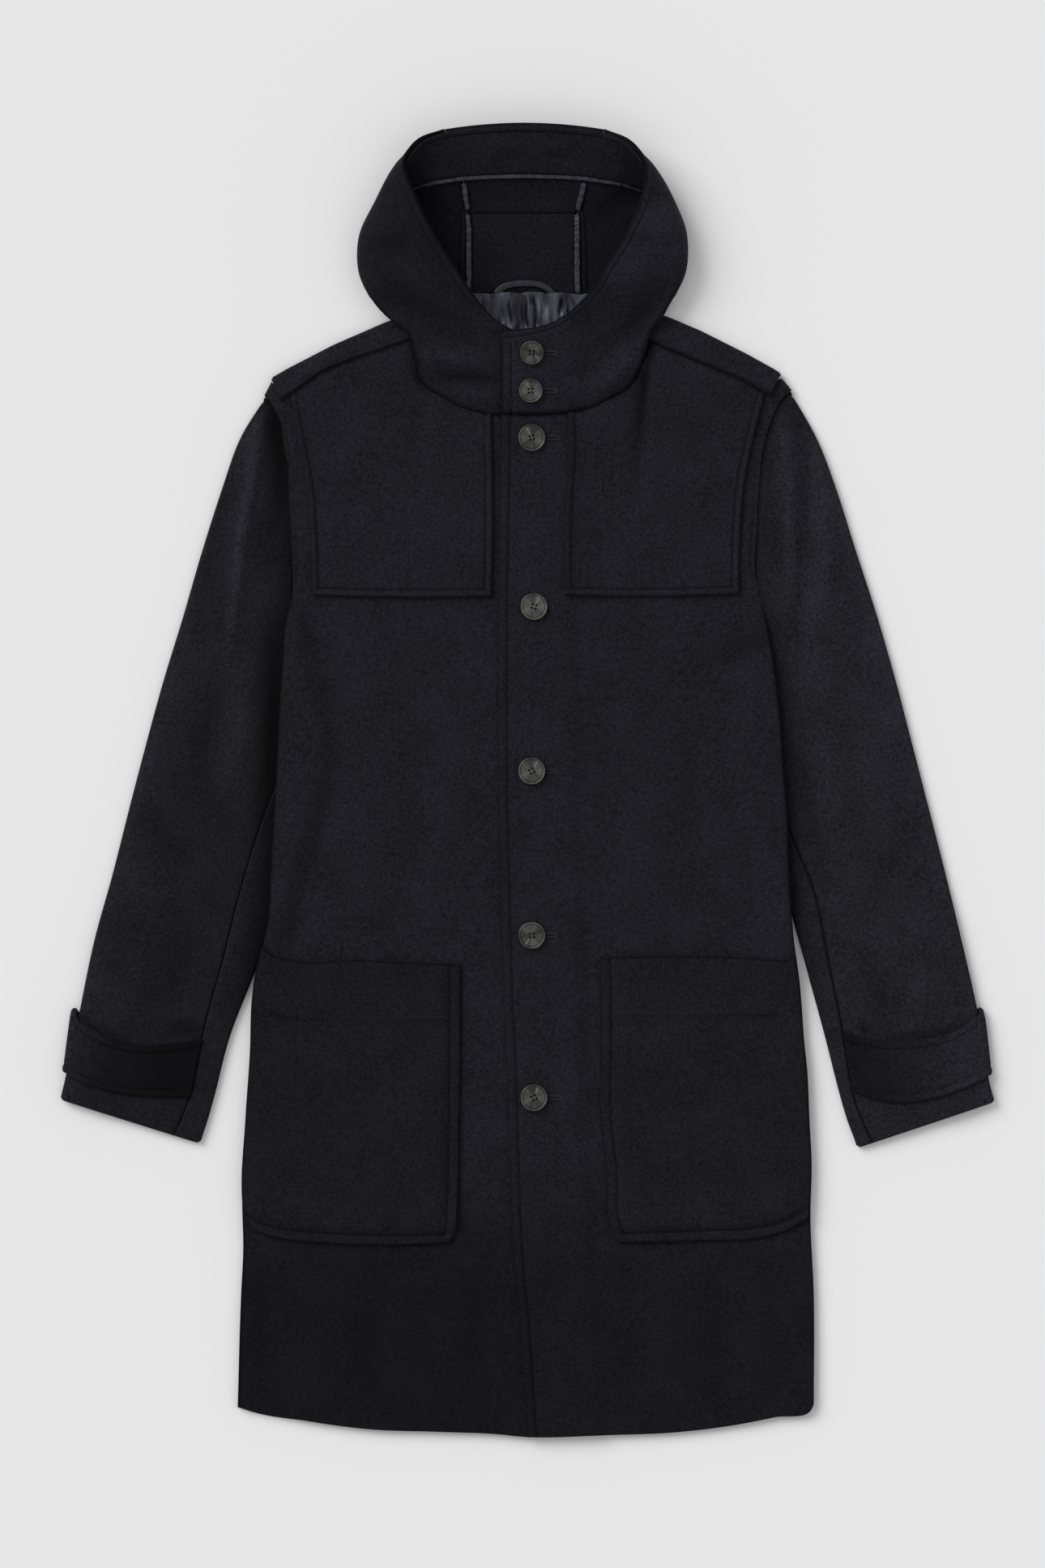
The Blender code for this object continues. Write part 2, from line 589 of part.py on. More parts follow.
def neck_points(plan, rows, side, columns):
    """The points of the neck opening's edge that one hood side is sewn to, from the shoulder to the
    front edge, drawn a little way into the opening."""
    neck, wing = rows["neck"], rows["wing"]
    if side == "right":
        corner = columns["neck_r"]
        inward = 1
        front = range(corner + 1, columns["lap"] + 1)
    else:
        corner = columns["neck_l"]
        inward = -1
        front = range(corner - 1, columns["opening"] - 1, -1)
    points = [plan[row, corner] + np.array([inward * NECK_TRIM, 0]) for row in range(wing, neck, -1)]
    points.append(plan[neck, corner] + np.array([inward * NECK_TRIM, NECK_TRIM]))
    for column in front:
        points.append(plan[neck, column] + np.array([0, NECK_TRIM]))
    return np.array(points)


def hood_side(bowl_rows, shoulder_rows, free_edge, seam_points, laps_over):
    """A side panel as a grid, a row for each section, and the mask of the cells that it has.

    In the bowl a section runs from the rim, over the bulge and down to the floor, then in to the
    crown seam. Below the bowl it only runs from the free edge to the neck seam."""
    bowl = table(refined(bowl_rows, HOOD_HALVES), HOOD_FIELDS)
    shoulder = np.array(shoulder_rows, dtype=float)
    upper = np.array(HOOD_UPPER)
    turn = np.radians(HOOD_TURN)
    floor = np.array(HOOD_FLOOR)
    count = len(bowl["rim_x"])
    rim = np.stack([bowl["rim_x"], bowl["rim_y"]], axis=1)[:, None]
    out = np.stack([bowl["out_x"], bowl["out_y"]], axis=1)[:, None]
    foot = np.stack([bowl["foot_x"], bowl["foot_y"]], axis=1)[:, None]
    seam = np.stack([bowl["seam_x"], bowl["seam_y"]], axis=1)[:, None]
    fullness = bowl["round"][:, None]
    rim_z, out_z = bowl["rim_z"][:, None], bowl["out_z"][:, None]
    foot_z, seam_z = bowl["foot_z"][:, None], bowl["seam_z"][:, None]

    power = 1 - 0.5 * fullness
    upper_xy = rim + (out - rim) * upper[None, :, None]
    upper_z = out_z + (rim_z - out_z) * (1 - upper[None]) ** power
    round_xy = 1 - np.cos(turn)
    straight = turn / (math.pi / 2)
    share_xy = fullness * round_xy + (1 - fullness) * straight
    share_z = fullness * np.sin(turn) + (1 - fullness) * straight
    turn_xy = out + (foot - out) * share_xy[..., None]
    turn_z = out_z + (foot_z - out_z) * share_z
    floor_xy = foot + (seam - foot) * floor[None, :, None]
    floor_z = foot_z + (seam_z - foot_z) * floor[None]
    bowl_grid = np.concatenate([
        np.concatenate([upper_xy, turn_xy, floor_xy], axis=1),
        np.concatenate([upper_z, turn_z, floor_z], axis=1)[..., None]], axis=2)

    free = through(free_edge, len(seam_points))
    neck_rim = np.concatenate([shoulder[:, :2], free])[:, None]
    neck_out = np.concatenate([shoulder[:, 2:], seam_points])[:, None]
    neck_xy = neck_rim + (neck_out - neck_rim) * upper[None, :, None]
    neck_z = lap_height(neck_xy[..., 0], neck_xy[..., 1])
    if laps_over:
        neck_z = neck_z + lap_step_height(neck_xy[..., 0], neck_xy[..., 1])
    neck_grid = np.concatenate([neck_xy, neck_z[..., None]], axis=2)
    spare = np.repeat(neck_grid[:, -1:], bowl_grid.shape[1] - len(upper), axis=1)
    grid = np.concatenate([bowl_grid, np.concatenate([neck_grid, spare], axis=1)], axis=0)
    keep = np.ones((grid.shape[0] - 1, grid.shape[1] - 1), dtype=bool)
    keep[count - 1:, len(upper) - 1:] = False
    return grid, keep


def hood_pieces(plan, rows, columns):
    right, right_keep = hood_side(HOOD_RIGHT, HOOD_SHOULDER_RIGHT, FREE_EDGE_RIGHT,
                                  neck_points(plan, rows, "right", columns), laps_over=False)
    left, left_keep = hood_side(HOOD_LEFT, HOOD_SHOULDER_LEFT, FREE_EDGE_LEFT,
                                neck_points(plan, rows, "left", columns), laps_over=True)
    cloth("hood_side_right", [(right, right_keep)], WOOL, NAVY)
    cloth("hood_side_left", [(left, left_keep)], WOOL, NAVY)

    share = np.linspace(0, 1, CROWN_COLUMNS + 1)[None, :, None]
    crown = right[0][:, None] * (1 - share) + left[0][:, None] * share
    depth = np.linspace(1, 0, crown.shape[0])[:, None]
    crown[..., 1] += CROWN_BULGE * (1 - (2 * share[..., 0] - 1) ** 2) * depth
    cloth("hood_crown", [trimmed(crown, left=HOOD_TRIM, right=HOOD_TRIM, top=HOOD_TRIM)], WOOL, NAVY)

    low = line_y(SHOULDER)
    seam_x, seam_y = HOOD_FIELDS.index("seam_x"), HOOD_FIELDS.index("seam_y")
    across = np.linspace(HOOD_RIGHT[0][seam_x], HOOD_LEFT[0][seam_x], CROWN_COLUMNS + 1)
    top_y = HOOD_RIGHT[0][seam_y] - HOOD_TRIM
    back = np.array([[(x, (1 - t) * (low(x) + LAYER_GAP) + t * top_y, BACK_Z) for x in across]
                     for t in (0, 0.5, 1)])
    cloth("hood_back", [trimmed(back, left=HOOD_BACK_TRIM, right=HOOD_BACK_TRIM)], WOOL, NAVY)
    facing(right, left, crown)
    seam_tapes(right, left, crown)
    hanger_loop()


def facing(right, left, crown):
    """A strip of wool behind the rim, across the crown and a little way down each side, and the
    satin that binds its inner edge. Both lie on the points of the panels beneath."""
    joined = np.concatenate([right[FACING_SECTIONS:0:-1].transpose(1, 0, 2), crown[:, 1:-1],
                             left[1:FACING_SECTIONS + 1].transpose(1, 0, 2)], axis=1)
    rise = WOOL / 2 + FACING_GAP + FACING_WOOL / 2
    strip = moved_out(joined[list(FACING_LINES)], rise)
    cloth("hood_facing", [trimmed(strip, bottom=FACING_RIM_TRIM, top=FACING_EDGE_TRIM)], FACING_WOOL, NAVY)
    start, end = joined[HOOD_FOOT], joined[HOOD_FOOT + 1]
    step = (end - start) / np.linalg.norm(end - start, axis=1, keepdims=True)
    band = moved_out(np.array([start + step * GAP, start + step * (GAP + BINDING_WIDTH)]), rise)
    cloth("facing_binding", [band], FACING_WOOL, SLATE, 0.4)


def toward(start, end, distance):
    """Points at a distance from start on the way to end."""
    step = end - start
    return start + step * (distance / np.linalg.norm(step, axis=-1, keepdims=True))


def seam_tapes(right, left, crown):
    """Satin tapes over the hood's two long seams, above and below its cross seam. Each edge of a
    tape follows the panel that it lies on."""
    half = TAPE_WIDTH / 2
    up = np.array([0, 0, WOOL / 2 + LAYER_GAP + GAP + TAPE / 2])
    shares = np.array(TAPE_SHARES)[:, None]
    for side, panel, column, inner in (("right", right, 0, 1), ("left", left, -1, -2)):
        low = slice(HOOD_FOOT, None)
        seam, centre, outside = [line[0] + (line[-1] - line[0]) * shares
                                 for line in (crown[low, column], crown[low, inner], panel[1, low])]
        upper = np.stack([toward(seam, outside, half), seam, toward(seam, centre, half)], axis=1)
        cloth("seam_tape_upper_" + side, [upper + up], TAPE, SLATE, 0.4)
        bowl = panel[:len(refined(HOOD_RIGHT, HOOD_HALVES))]
        seam = bowl[:, -1]
        flat = np.array([1 if side == "right" else -1, 0, 0])
        lower = np.stack([toward(seam, bowl[:, -2], half), seam, seam + flat * half], axis=1) + up
        cloth("seam_tape_lower_" + side, [trimmed(lower, top=TAPE_TRIM_TOP, bottom=TAPE_TRIM_BOTTOM)],
              TAPE, SLATE, 0.4)


def hanger_loop():
    path = refined(LOOP_PATH, 2)
    step = np.gradient(path, axis=0)
    side = np.stack([-step[:, 1], step[:, 0]], axis=1)
    side /= np.linalg.norm(side, axis=1, keepdims=True)
    height = BACK_Z + WOOL / 2 + LAYER_GAP + LOOP_BAND / 2
    edges = [path - side * LOOP_WIDTH / 2, path + side * LOOP_WIDTH / 2]
    band = np.stack([np.concatenate([e, np.full((len(e), 1), height)], axis=1) for e in edges], axis=1)
    band[..., 1] = np.maximum(band[..., 1], line_y(SHOULDER)(band[..., 0]) + 2 * GAP)
    cloth("hanger_loop", [band], LOOP_BAND, SLATE, 0.5)


# ---------------------------------------------------------------- the sleeves

def armhole_line(side):
    """The armhole from the shoulder down to the underarm, just outside the body's edge."""
    points = SIDE_RIGHT if side == "right" else SIDE_LEFT
    outward = -1 if side == "right" else 1
    underarm = UNDERARM_Y[side]
    line = [(x + outward * ARMHOLE_TRIM, y) for y, x in points if y >= underarm]
    line[-1] = (line[-1][0], underarm + UNDERARM_TRIM)
    return line


def section_point(stations, row, distance, width):
    """The point at a distance in from the outer edge, on the curve through the section's three points."""
    outer, mid, inner = stations[row]
    t = distance / width
    return (outer * (1 - t) * (1 - 2 * t) + mid * 4 * t * (1 - t) + inner * t * (2 * t - 1))


def sleeve_loops(side, rows):
    """Points on the middle of the sleeve's cloth, for the top sleeve and for the under sleeve.

    Each section is a flattened tube. It is given by distances in from the outer edge, on the upper
    or the lower wall, with a half round at each edge."""
    data = table(rows, SLEEVE_FIELDS)
    half_wall = SLEEVE_WOOL / 2
    edge = FOLD_RADIUS + half_wall
    arm = through(armhole_line(side), ARMHOLE_POINTS)
    last = len(rows)

    def plan_point(row, distance, width):
        t = distance / width
        if row == 0:
            along = np.linspace(0, 1, len(arm))
            return np.array([np.interp(t, along, arm[:, 0]), np.interp(t, along, arm[:, 1])])
        stations = [None] + [(np.array([data["outer_x"][i], data["outer_y"][i]]),
                              np.array([data["mid_x"][i], data["mid_y"][i]]),
                              np.array([data["inner_x"][i], data["inner_y"][i]])) for i in range(last)]
        return section_point(stations, row, distance, width)

    top_rows, under_rows, strap_rows = [], [], []
    for row in range(last + 1):
        if row == 0:
            steps = np.linalg.norm(np.diff(arm, axis=0), axis=1)
            width = steps.sum()
            seam_in, puff = ARMHOLE_SEAM_IN, 0.0
        else:
            ends = [plan_point(row, t, 1.0) for t in np.linspace(0, 1, WIDTH_POINTS)]
            width = float(np.linalg.norm(np.diff(ends, axis=0), axis=1).sum())
            seam_in, puff = data["seam_in"][row - 1], data["puff"][row - 1]
        raised = STRAP_RISE * smooth_step((row - STRAP_ROWS[0] + 1.0))

        def height(distance, upper):
            share = np.clip(distance / width, 0, 1)
            rise = raised * float(smooth_step((STRAP_ROOM_TO - share) / STRAP_ROOM_FADE))
            lifted = float(smooth_step((share - LIFTED_FROM) / (1 - LIFTED_FROM)))
            low = half_wall + rise + SLEEVE_LIFT[row] * lifted
            if not upper:
                return low
            return low + 2 * FOLD_RADIUS + PUFF * puff * math.sin(math.pi * share) ** PUFF_POWER

        def wall(distances, upper, out=0.0):
            points = []
            for d in distances:
                xy = plan_point(row, d, width)
                z = height(d, upper) + (out if upper else -out)
                points.append((xy[0], xy[1], z))
            return points

        def turn(outer_edge, out=0.0, slack=0.0):
            """Half round from the upper wall to the lower one at one of the sleeve's edges."""
            centre_d = edge if outer_edge else width - edge
            centre = plan_point(row, centre_d, width)
            rim = plan_point(row, 0 if outer_edge else width, width)
            direction = (rim - centre) / np.linalg.norm(rim - centre)
            high, low = height(centre_d, True), height(centre_d, False)
            radius_z = (high - low) / 2 + out
            radius_xy = FOLD_RADIUS + out + slack
            points = []
            for angle in np.radians(TURN_ANGLES):
                xy = centre + direction * (radius_xy * math.sin(angle))
                points.append((xy[0], xy[1], (high + low) / 2 + radius_z * math.cos(angle)))
            return points

        seam = width - seam_in
        across = np.linspace(seam, edge, TOP_POINTS)
        top = wall(across, True) + turn(True)
        top += wall(np.linspace(edge, BACK_SEAM_IN, TOP_BACK_POINTS), False)
        spread = SLEEVE_SEAM_GAP[row]
        under = wall(np.linspace(seam + spread, width - edge, UNDER_FRONT_POINTS), True) + turn(False)
        under += wall(np.linspace(width - edge, BACK_SEAM_IN + spread, UNDER_BACK_POINTS), False)
        top_rows.append(top)
        under_rows.append(under)
        if row - 1 in STRAP_ROWS:
            out = half_wall + GAP + STRAP_WOOL / 2
            strap = wall(across, True, out) + turn(True, out, STRAP_SLACK)
            strap += wall([edge, STRAP_UNDER], False, out)
            strap_rows.append(strap)
    return np.array(top_rows), np.array(under_rows), np.array(strap_rows)


def sleeve_pieces():
    for side, rows in (("right", SLEEVE_RIGHT), ("left", SLEEVE_LEFT)):
        top, under, strap = sleeve_loops(side, rows)
        cloth("sleeve_top_" + side, [top], SLEEVE_WOOL, NAVY)
        cloth("sleeve_under_" + side, [under], SLEEVE_WOOL, NAVY)
        cloth("strap_" + side, [strap], STRAP_WOOL, NAVY)


# ---------------------------------------------------------------- buttons

def button(name, x, y, height, radius, tilt):
    """A button with a raised rim, turned round its axis and laid on the cloth."""
    mesh = bpy.data.meshes.new(name)
    points = [(share_x * radius * MM, 0, share_z * radius * MM) for share_x, share_z in BUTTON_PROFILE]
    mesh.from_pydata(points, [(i, i + 1) for i in range(len(points) - 1)], [])
    item = bpy.data.objects.new(name, mesh)
    item.data.materials.append(new_material(name, HORN, 0.35))
    coat.objects.link(item)
    screw = item.modifiers.new("turned", "SCREW")
    screw.steps = BUTTON_STEPS
    screw.render_steps = BUTTON_STEPS
    screw.use_merge_vertices = True
    screw.merge_threshold = WELD * MM
    screw.use_smooth_shade = True
    item.matrix_world = Matrix.Translation((x * MM, y * MM, height * MM)) @ Matrix.Rotation(tilt, 4, "X")


def buttons():
    front_top = FRONT_Z + LAYER + WOOL / 2 + GAP
    for i, (x, y) in enumerate(BUTTONS_FRONT):
        button(f"button_front_{i + 1}", x, y, front_top, BUTTON_LARGE, 0.0)
    tilt = math.atan(LAP_SLOPE)
    for i, (x, y) in enumerate(BUTTONS_HOOD):
        middle = float(lap_height(x, y) + lap_step_height(x, y))
        height = middle + (WOOL / 2 + GAP) / math.cos(tilt)
        button(f"button_hood_{i + 1}", x, y, height, BUTTON_SMALL, tilt)


clear_scene()
coat = new_collection("duffle_coat")
body = body_plan()
body_pieces(*body)
hood_pieces(*body)
sleeve_pieces()
buttons()
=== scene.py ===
import math

import bmesh
import bpy
import numpy as np
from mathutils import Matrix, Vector
from mathutils.bvhtree import BVHTree


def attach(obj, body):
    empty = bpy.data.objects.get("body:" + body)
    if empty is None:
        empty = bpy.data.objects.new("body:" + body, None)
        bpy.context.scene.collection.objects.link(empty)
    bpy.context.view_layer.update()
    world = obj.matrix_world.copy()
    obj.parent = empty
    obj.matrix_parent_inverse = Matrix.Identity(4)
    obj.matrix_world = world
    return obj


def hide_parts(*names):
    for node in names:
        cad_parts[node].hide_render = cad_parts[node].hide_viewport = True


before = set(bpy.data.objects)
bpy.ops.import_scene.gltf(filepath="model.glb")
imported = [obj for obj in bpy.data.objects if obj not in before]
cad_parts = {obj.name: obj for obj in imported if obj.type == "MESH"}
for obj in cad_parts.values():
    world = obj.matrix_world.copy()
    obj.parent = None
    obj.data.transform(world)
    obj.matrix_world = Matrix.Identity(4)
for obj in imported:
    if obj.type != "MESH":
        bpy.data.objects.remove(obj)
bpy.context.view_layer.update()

# ------------------------------------------------------------------ back
# The back panel is one length of navy melton, a thick felted wool, cut flared from the underarm to
# the hem. It lies on the floor under the rest of the coat, and its sides lie over the sleeves' inner
# edges. Sizes here and below are in millimetres: +X is the wearer's left and +Y is towards the hood.
MM = 0.001
WOOL = 2.8
LAYER = 3.2
BACK_MIDDLE = 1.4
FRONT_MIDDLE = BACK_MIDDLE + LAYER

SIDE_RIGHT = [(-261, -565), (-258, -465), (-256, -422), (-257, -378), (-254, -305), (-250, -246),
              (-248, -195), (-245, -173), (-238, -148), (-233, -122), (-231, -84), (-226, 2),
              (-223, 63), (-220, 108), (-218, 138), (-213, 161), (-213, 221), (-215, 251),
              (-216, 282), (-220, 303), (-223, 323), (-230, 336), (-237, 346)]
SIDE_LEFT = [(258, -562), (258, -465), (255, -392), (256, -349), (254, -305), (252, -261), (249, -232),
             (247, -203), (244, -173), (240, -144), (237, -109), (235, -70), (234, -32), (231, 3),
             (228, 48), (223, 93), (217, 132), (210, 167), (206, 184), (207, 221), (208, 244),
             (210, 272), (214, 302), (221, 324), (229, 341), (238, 351)]
HEM = [(-261, -565), (-249, -569), (-195, -578), (-140, -585), (-85, -587), (-31, -589), (3, -592),
       (77, -590), (128, -588), (187, -581), (223, -574), (256, -567), (258, -562)]
YOKE_SEAM = [(-214, 232), (-120, 225), (0, 222), (120, 226), (207, 233)]

# Where the sleeves' inner edges lie under the body: the line where the body lies on them, and the
# line further in where it is back down at its own height, as (y, x).
OVER_RIGHT = [(161, -205), (138, -211), (97, -207), (75, -199), (46, -191), (24, -189), (-1, -193),
              (-27, -200), (-100, -221), (-144, -231), (-203, -240)]
CLEAR_RIGHT = [(166, -194), (119, -188), (75, -174), (24, -163), (-1, -167), (-27, -174), (-100, -196),
               (-144, -208), (-203, -218)]
OVER_LEFT = [(167, 201), (141, 208), (97, 210), (75, 206), (46, 203), (24, 203), (-1, 205), (-27, 210),
             (-70, 222), (-135, 232), (-203, 239)]
CLEAR_LEFT = [(167, 191), (119, 188), (75, 180), (24, 176), (-27, 184), (-100, 203), (-144, 213),
              (-203, 220)]
SIDE_LIFT = 8.0
LIFT_TOP = (164, 126)
LIFT_BOTTOM = (-125, -200)

# Distances in from a turned edge at which a grid has lines.
TURNED = (0, 0.2, 0.6, 1.2, 2.0, 3.2)


def run_along(points):
    """The distance along a line of points to each of them."""
    return np.concatenate([[0], np.cumsum(np.linalg.norm(np.diff(points, axis=0), axis=1))])


def smooth_line(points):
    """A curve through points as a function of shares of its length: cubic pieces, whose slope at
    each point is that of the parabola through it and its neighbours."""
    points = np.array(points, dtype=float)
    place = run_along(points)
    slope = np.gradient(points, place, axis=0)

    def curve(shares):
        wanted = np.asarray(shares) * place[-1]
        i = np.clip(np.searchsorted(place, wanted, side="right") - 1, 0, len(place) - 2)
        step = (place[i + 1] - place[i])[:, None]
        t = (wanted - place[i])[:, None] / step
        return ((2 * t ** 3 - 3 * t ** 2 + 1) * points[i] + (t ** 3 - 2 * t ** 2 + t) * step * slope[i]
                + (3 * t ** 2 - 2 * t ** 3) * points[i + 1] + (t ** 3 - t ** 2) * step * slope[i + 1])
    return curve


def across_at(line):
    """x of a line given as (y, x), as a function of y."""
    line = np.array(sorted(line), dtype=float)
    return lambda y: np.interp(y, line[:, 0], line[:, 1])


def spaced(length, step, start=TURNED, end=TURNED):
    """Shares from 0 to 1 that are close together by the edges, where cloth rolls over or is sewn,
    and about step apart between them."""
    first = np.array(start) / length
    last = 1 - np.array(end)[::-1] / length
    count = max(int((last[0] - first[-1]) * length / step), 2)
    return np.concatenate([first, np.linspace(first[-1], last[0], count + 1)[1:-1], last])


def between(left, right, bottom, top, across, along):
    """A grid of points between four edge lines: the blend of left and right, plus the blend of
    bottom and top, less the blend of the four corners. Rows run up and columns run to the right."""
    u = np.asarray(across)[None, :, None]
    v = np.asarray(along)[:, None, None]
    low, high = bottom(across)[None], top(across)[None]
    low_corners = (1 - u) * low[:, :1] + u * low[:, -1:]
    high_corners = (1 - u) * high[:, :1] + u * high[:, -1:]
    corners = (1 - v) * low_corners + v * high_corners
    sides = (1 - u) * left(along)[:, None] + u * right(along)[:, None]
    return sides + (1 - v) * low + v * high - corners


def at_height(plan, z):
    """The points of a plan, each at its height."""
    return np.concatenate([plan, z[..., None]], axis=-1)


def smooth_step(t):
    """0 below 0 and 1 above 1, with the cubic 3t² - 2t³ between."""
    t = np.clip(t, 0, 1)
    return t * t * (3 - 2 * t)


def body_lift(x, y):
    """How far the body is raised over the sleeves' inner edges: the full lift outside the line
    where it lies on them, none inside the clear line, and a smooth slope between."""
    rising = smooth_step((LIFT_TOP[0] - y) / (LIFT_TOP[0] - LIFT_TOP[1]))
    falling = smooth_step((y - LIFT_BOTTOM[1]) / (LIFT_BOTTOM[0] - LIFT_BOTTOM[1]))
    share = np.zeros(np.shape(x))
    for over, clear in ((OVER_RIGHT, CLEAR_RIGHT), (OVER_LEFT, CLEAR_LEFT)):
        full, none = across_at(over)(y), across_at(clear)(y)
        share = np.maximum(share, smooth_step((x - none) / (full - none)))
    return SIDE_LIFT * np.minimum(rising, falling) * share


def edge_distances(grid):
    """Distances over a surface from its grid's four edges, as running sums of the steps between
    neighbouring points."""
    across = np.linalg.norm(np.diff(grid, axis=1), axis=2)
    along = np.linalg.norm(np.diff(grid, axis=0), axis=2)
    left = np.pad(np.cumsum(across, axis=1), ((0, 0), (1, 0)))
    bottom = np.pad(np.cumsum(along, axis=0), ((1, 0), (0, 0)))
    return {"left": left, "right": left[:, -1:] - left, "bottom": bottom, "top": bottom[-1:] - bottom}


def nearest(grid, sides=("left", "right", "bottom", "top")):
    """Distance from the nearest of the named edges."""
    distances = edge_distances(grid)
    return np.min([distances[side] for side in sides], axis=0)


def rolled(distance, radius):
    """Height share of a rolled edge: a quarter circle from 0 at the edge to 1 a radius in."""
    return np.sqrt(1 - (1 - np.clip(distance / radius, 0, 1)) ** 2)


def new_piece(name, points, faces, material):
    """A mesh object at the origin, from points in millimetres."""
    mesh = bpy.data.meshes.new(name)
    mesh.from_pydata((np.asarray(points) * MM).tolist(), [], faces)
    mesh.shade_smooth()
    mesh.materials.append(material)
    piece = bpy.data.objects.new(name, mesh)
    bpy.context.scene.collection.objects.link(piece)
    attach(piece, "root")
    return piece


def turned_out(piece):
    """Makes a closed mesh's faces point outwards."""
    work = bmesh.new()
    work.from_mesh(piece.data)
    bmesh.ops.recalc_face_normals(work, faces=work.faces)
    work.to_mesh(piece.data)
    work.free()
    return piece


def store_painted_shade(piece, painted_shade):
    """Keeps on each point of a mesh how dark its painted shade is there, for its material to read."""
    kept = piece.data.attributes.new("painted_shade", "FLOAT", "POINT")
    kept.data.foreach_set("value", np.clip(painted_shade, 0, 1).astype(np.float32))


def quads(index):
    """The corners of every cell of a grid of point numbers."""
    corners = [index[:-1, :-1], index[:-1, 1:], index[1:, 1:], index[1:, :-1]]
    return np.stack(corners, axis=-1).reshape(-1, 4)


def closed_wall(name, upper, under, material, painted_shade=0.0):
    """One closed skin from an upper and a lower grid of points, which share their border."""
    rows, columns = upper.shape[:2]
    top = np.arange(rows * columns).reshape(rows, columns)
    low = top.copy()
    low[1:-1, 1:-1] = rows * columns + np.arange((rows - 2) * (columns - 2)).reshape(rows - 2, columns - 2)
    points = np.concatenate([upper.reshape(-1, 3), under[1:-1, 1:-1].reshape(-1, 3)])
    faces = np.concatenate([quads(top), quads(low)[:, ::-1]])
    piece = turned_out(new_piece(name, points, faces.tolist(), material))
    tone = np.broadcast_to(painted_shade, (rows, columns))
    store_painted_shade(piece, np.concatenate([tone.ravel(), tone[1:-1, 1:-1].ravel()]))
    return piece


def laid_piece(name, plan, middle, thickness, material, roll=1.4, relief=0.0, painted_shade=0.0):
    """A cloth piece that lies flat: its plan at the height of its middle, half its thickness above
    and below, rolled to nothing at its edges, with relief added to its upper face."""
    inner = rolled(nearest(plan), roll)
    half = thickness / 2 * inner
    return closed_wall(name, at_height(plan, middle + half + relief * inner), at_height(plan, middle - half),
                       material, painted_shade)


def set_inputs(node, inputs):
    """Gives inputs of a shader node their values by name, or links them where a value is a socket."""
    for name, value in inputs.items():
        if isinstance(value, bpy.types.NodeSocket):
            node.id_data.links.new(value, node.inputs[name])
        else:
            node.inputs[name].default_value = value
    return node


def add_node(tree, kind, inputs, **settings):
    """A new node of a tree, with its settings made before its inputs."""
    node = tree.nodes.new(kind)
    for setting, value in settings.items():
        setattr(node, setting, value)
    return set_inputs(node, inputs)


def mixed_colours(tree, share, first, second):
    """The colour between two colours, each given as a colour or as another node's output."""
    return add_node(tree, "ShaderNodeMix", {"Factor": share, "A": first, "B": second},
                    data_type="RGBA").outputs["Result"]


def bumped(tree, height, strength, distance):
    """A normal from a height, whose full rise is the distance in metres."""
    inputs = {"Height": height, "Strength": strength, "Distance": distance}
    return add_node(tree, "ShaderNodeBump", inputs).outputs["Normal"]


def new_material(name):
    """A material made of nodes, and its tree."""
    material = bpy.data.materials.new(name)
    material.use_nodes = True
    return material, material.node_tree


def nap_group():
    """Felted nap as a node group. Mottle mixes three sizes of noise, Height mixes two fine
    ones, and Lint is a mask of a few stray pale fibres, where a cell's centre is very near."""
    group = bpy.data.node_groups.new("felted_nap", "ShaderNodeTree")
    for socket, kind in (("Vector", "NodeSocketVector"), ("Fibre Scale", "NodeSocketFloat")):
        group.interface.new_socket(socket, in_out="INPUT", socket_type=kind)
    for socket in ("Mottle", "Height", "Lint"):
        group.interface.new_socket(socket, in_out="OUTPUT", socket_type="NodeSocketFloat")
    source = group.nodes.new("NodeGroupInput").outputs

    def noise(share, detail):
        scale = add_node(group, "ShaderNodeMath", {0: source["Fibre Scale"], 1: share}, operation="MULTIPLY")
        inputs = {"Vector": source["Vector"], "Scale": scale.outputs[0], "Detail": detail}
        return add_node(group, "ShaderNodeTexNoise", inputs).outputs["Fac"]

    def mixed(first, second, share):
        return add_node(group, "ShaderNodeMix", {"Factor": share, "A": first, "B": second}).outputs["Result"]

    fine = noise(1.0, 4.0)
    mottle = mixed(mixed(fine, noise(0.4, 2.0), 0.45), noise(0.03, 2.0), 0.14)
    contrast = add_node(group, "ShaderNodeMapRange", {"Value": mottle, "From Min": 0.32, "From Max": 0.68})
    cells = add_node(group, "ShaderNodeTexVoronoi", {"Vector": source["Vector"], "Scale": 60.0})
    near = add_node(group, "ShaderNodeMapRange", {
        "Value": cells.outputs["Distance"], "From Min": 0.012, "From Max": 0.022,
        "To Min": 1.0, "To Max": 0.0})
    add_node(group, "NodeGroupOutput", {
        "Mottle": contrast.outputs["Result"], "Height": mixed(fine, noise(0.45, 2.0), 0.45),
        "Lint": near.outputs["Result"]})
    return group


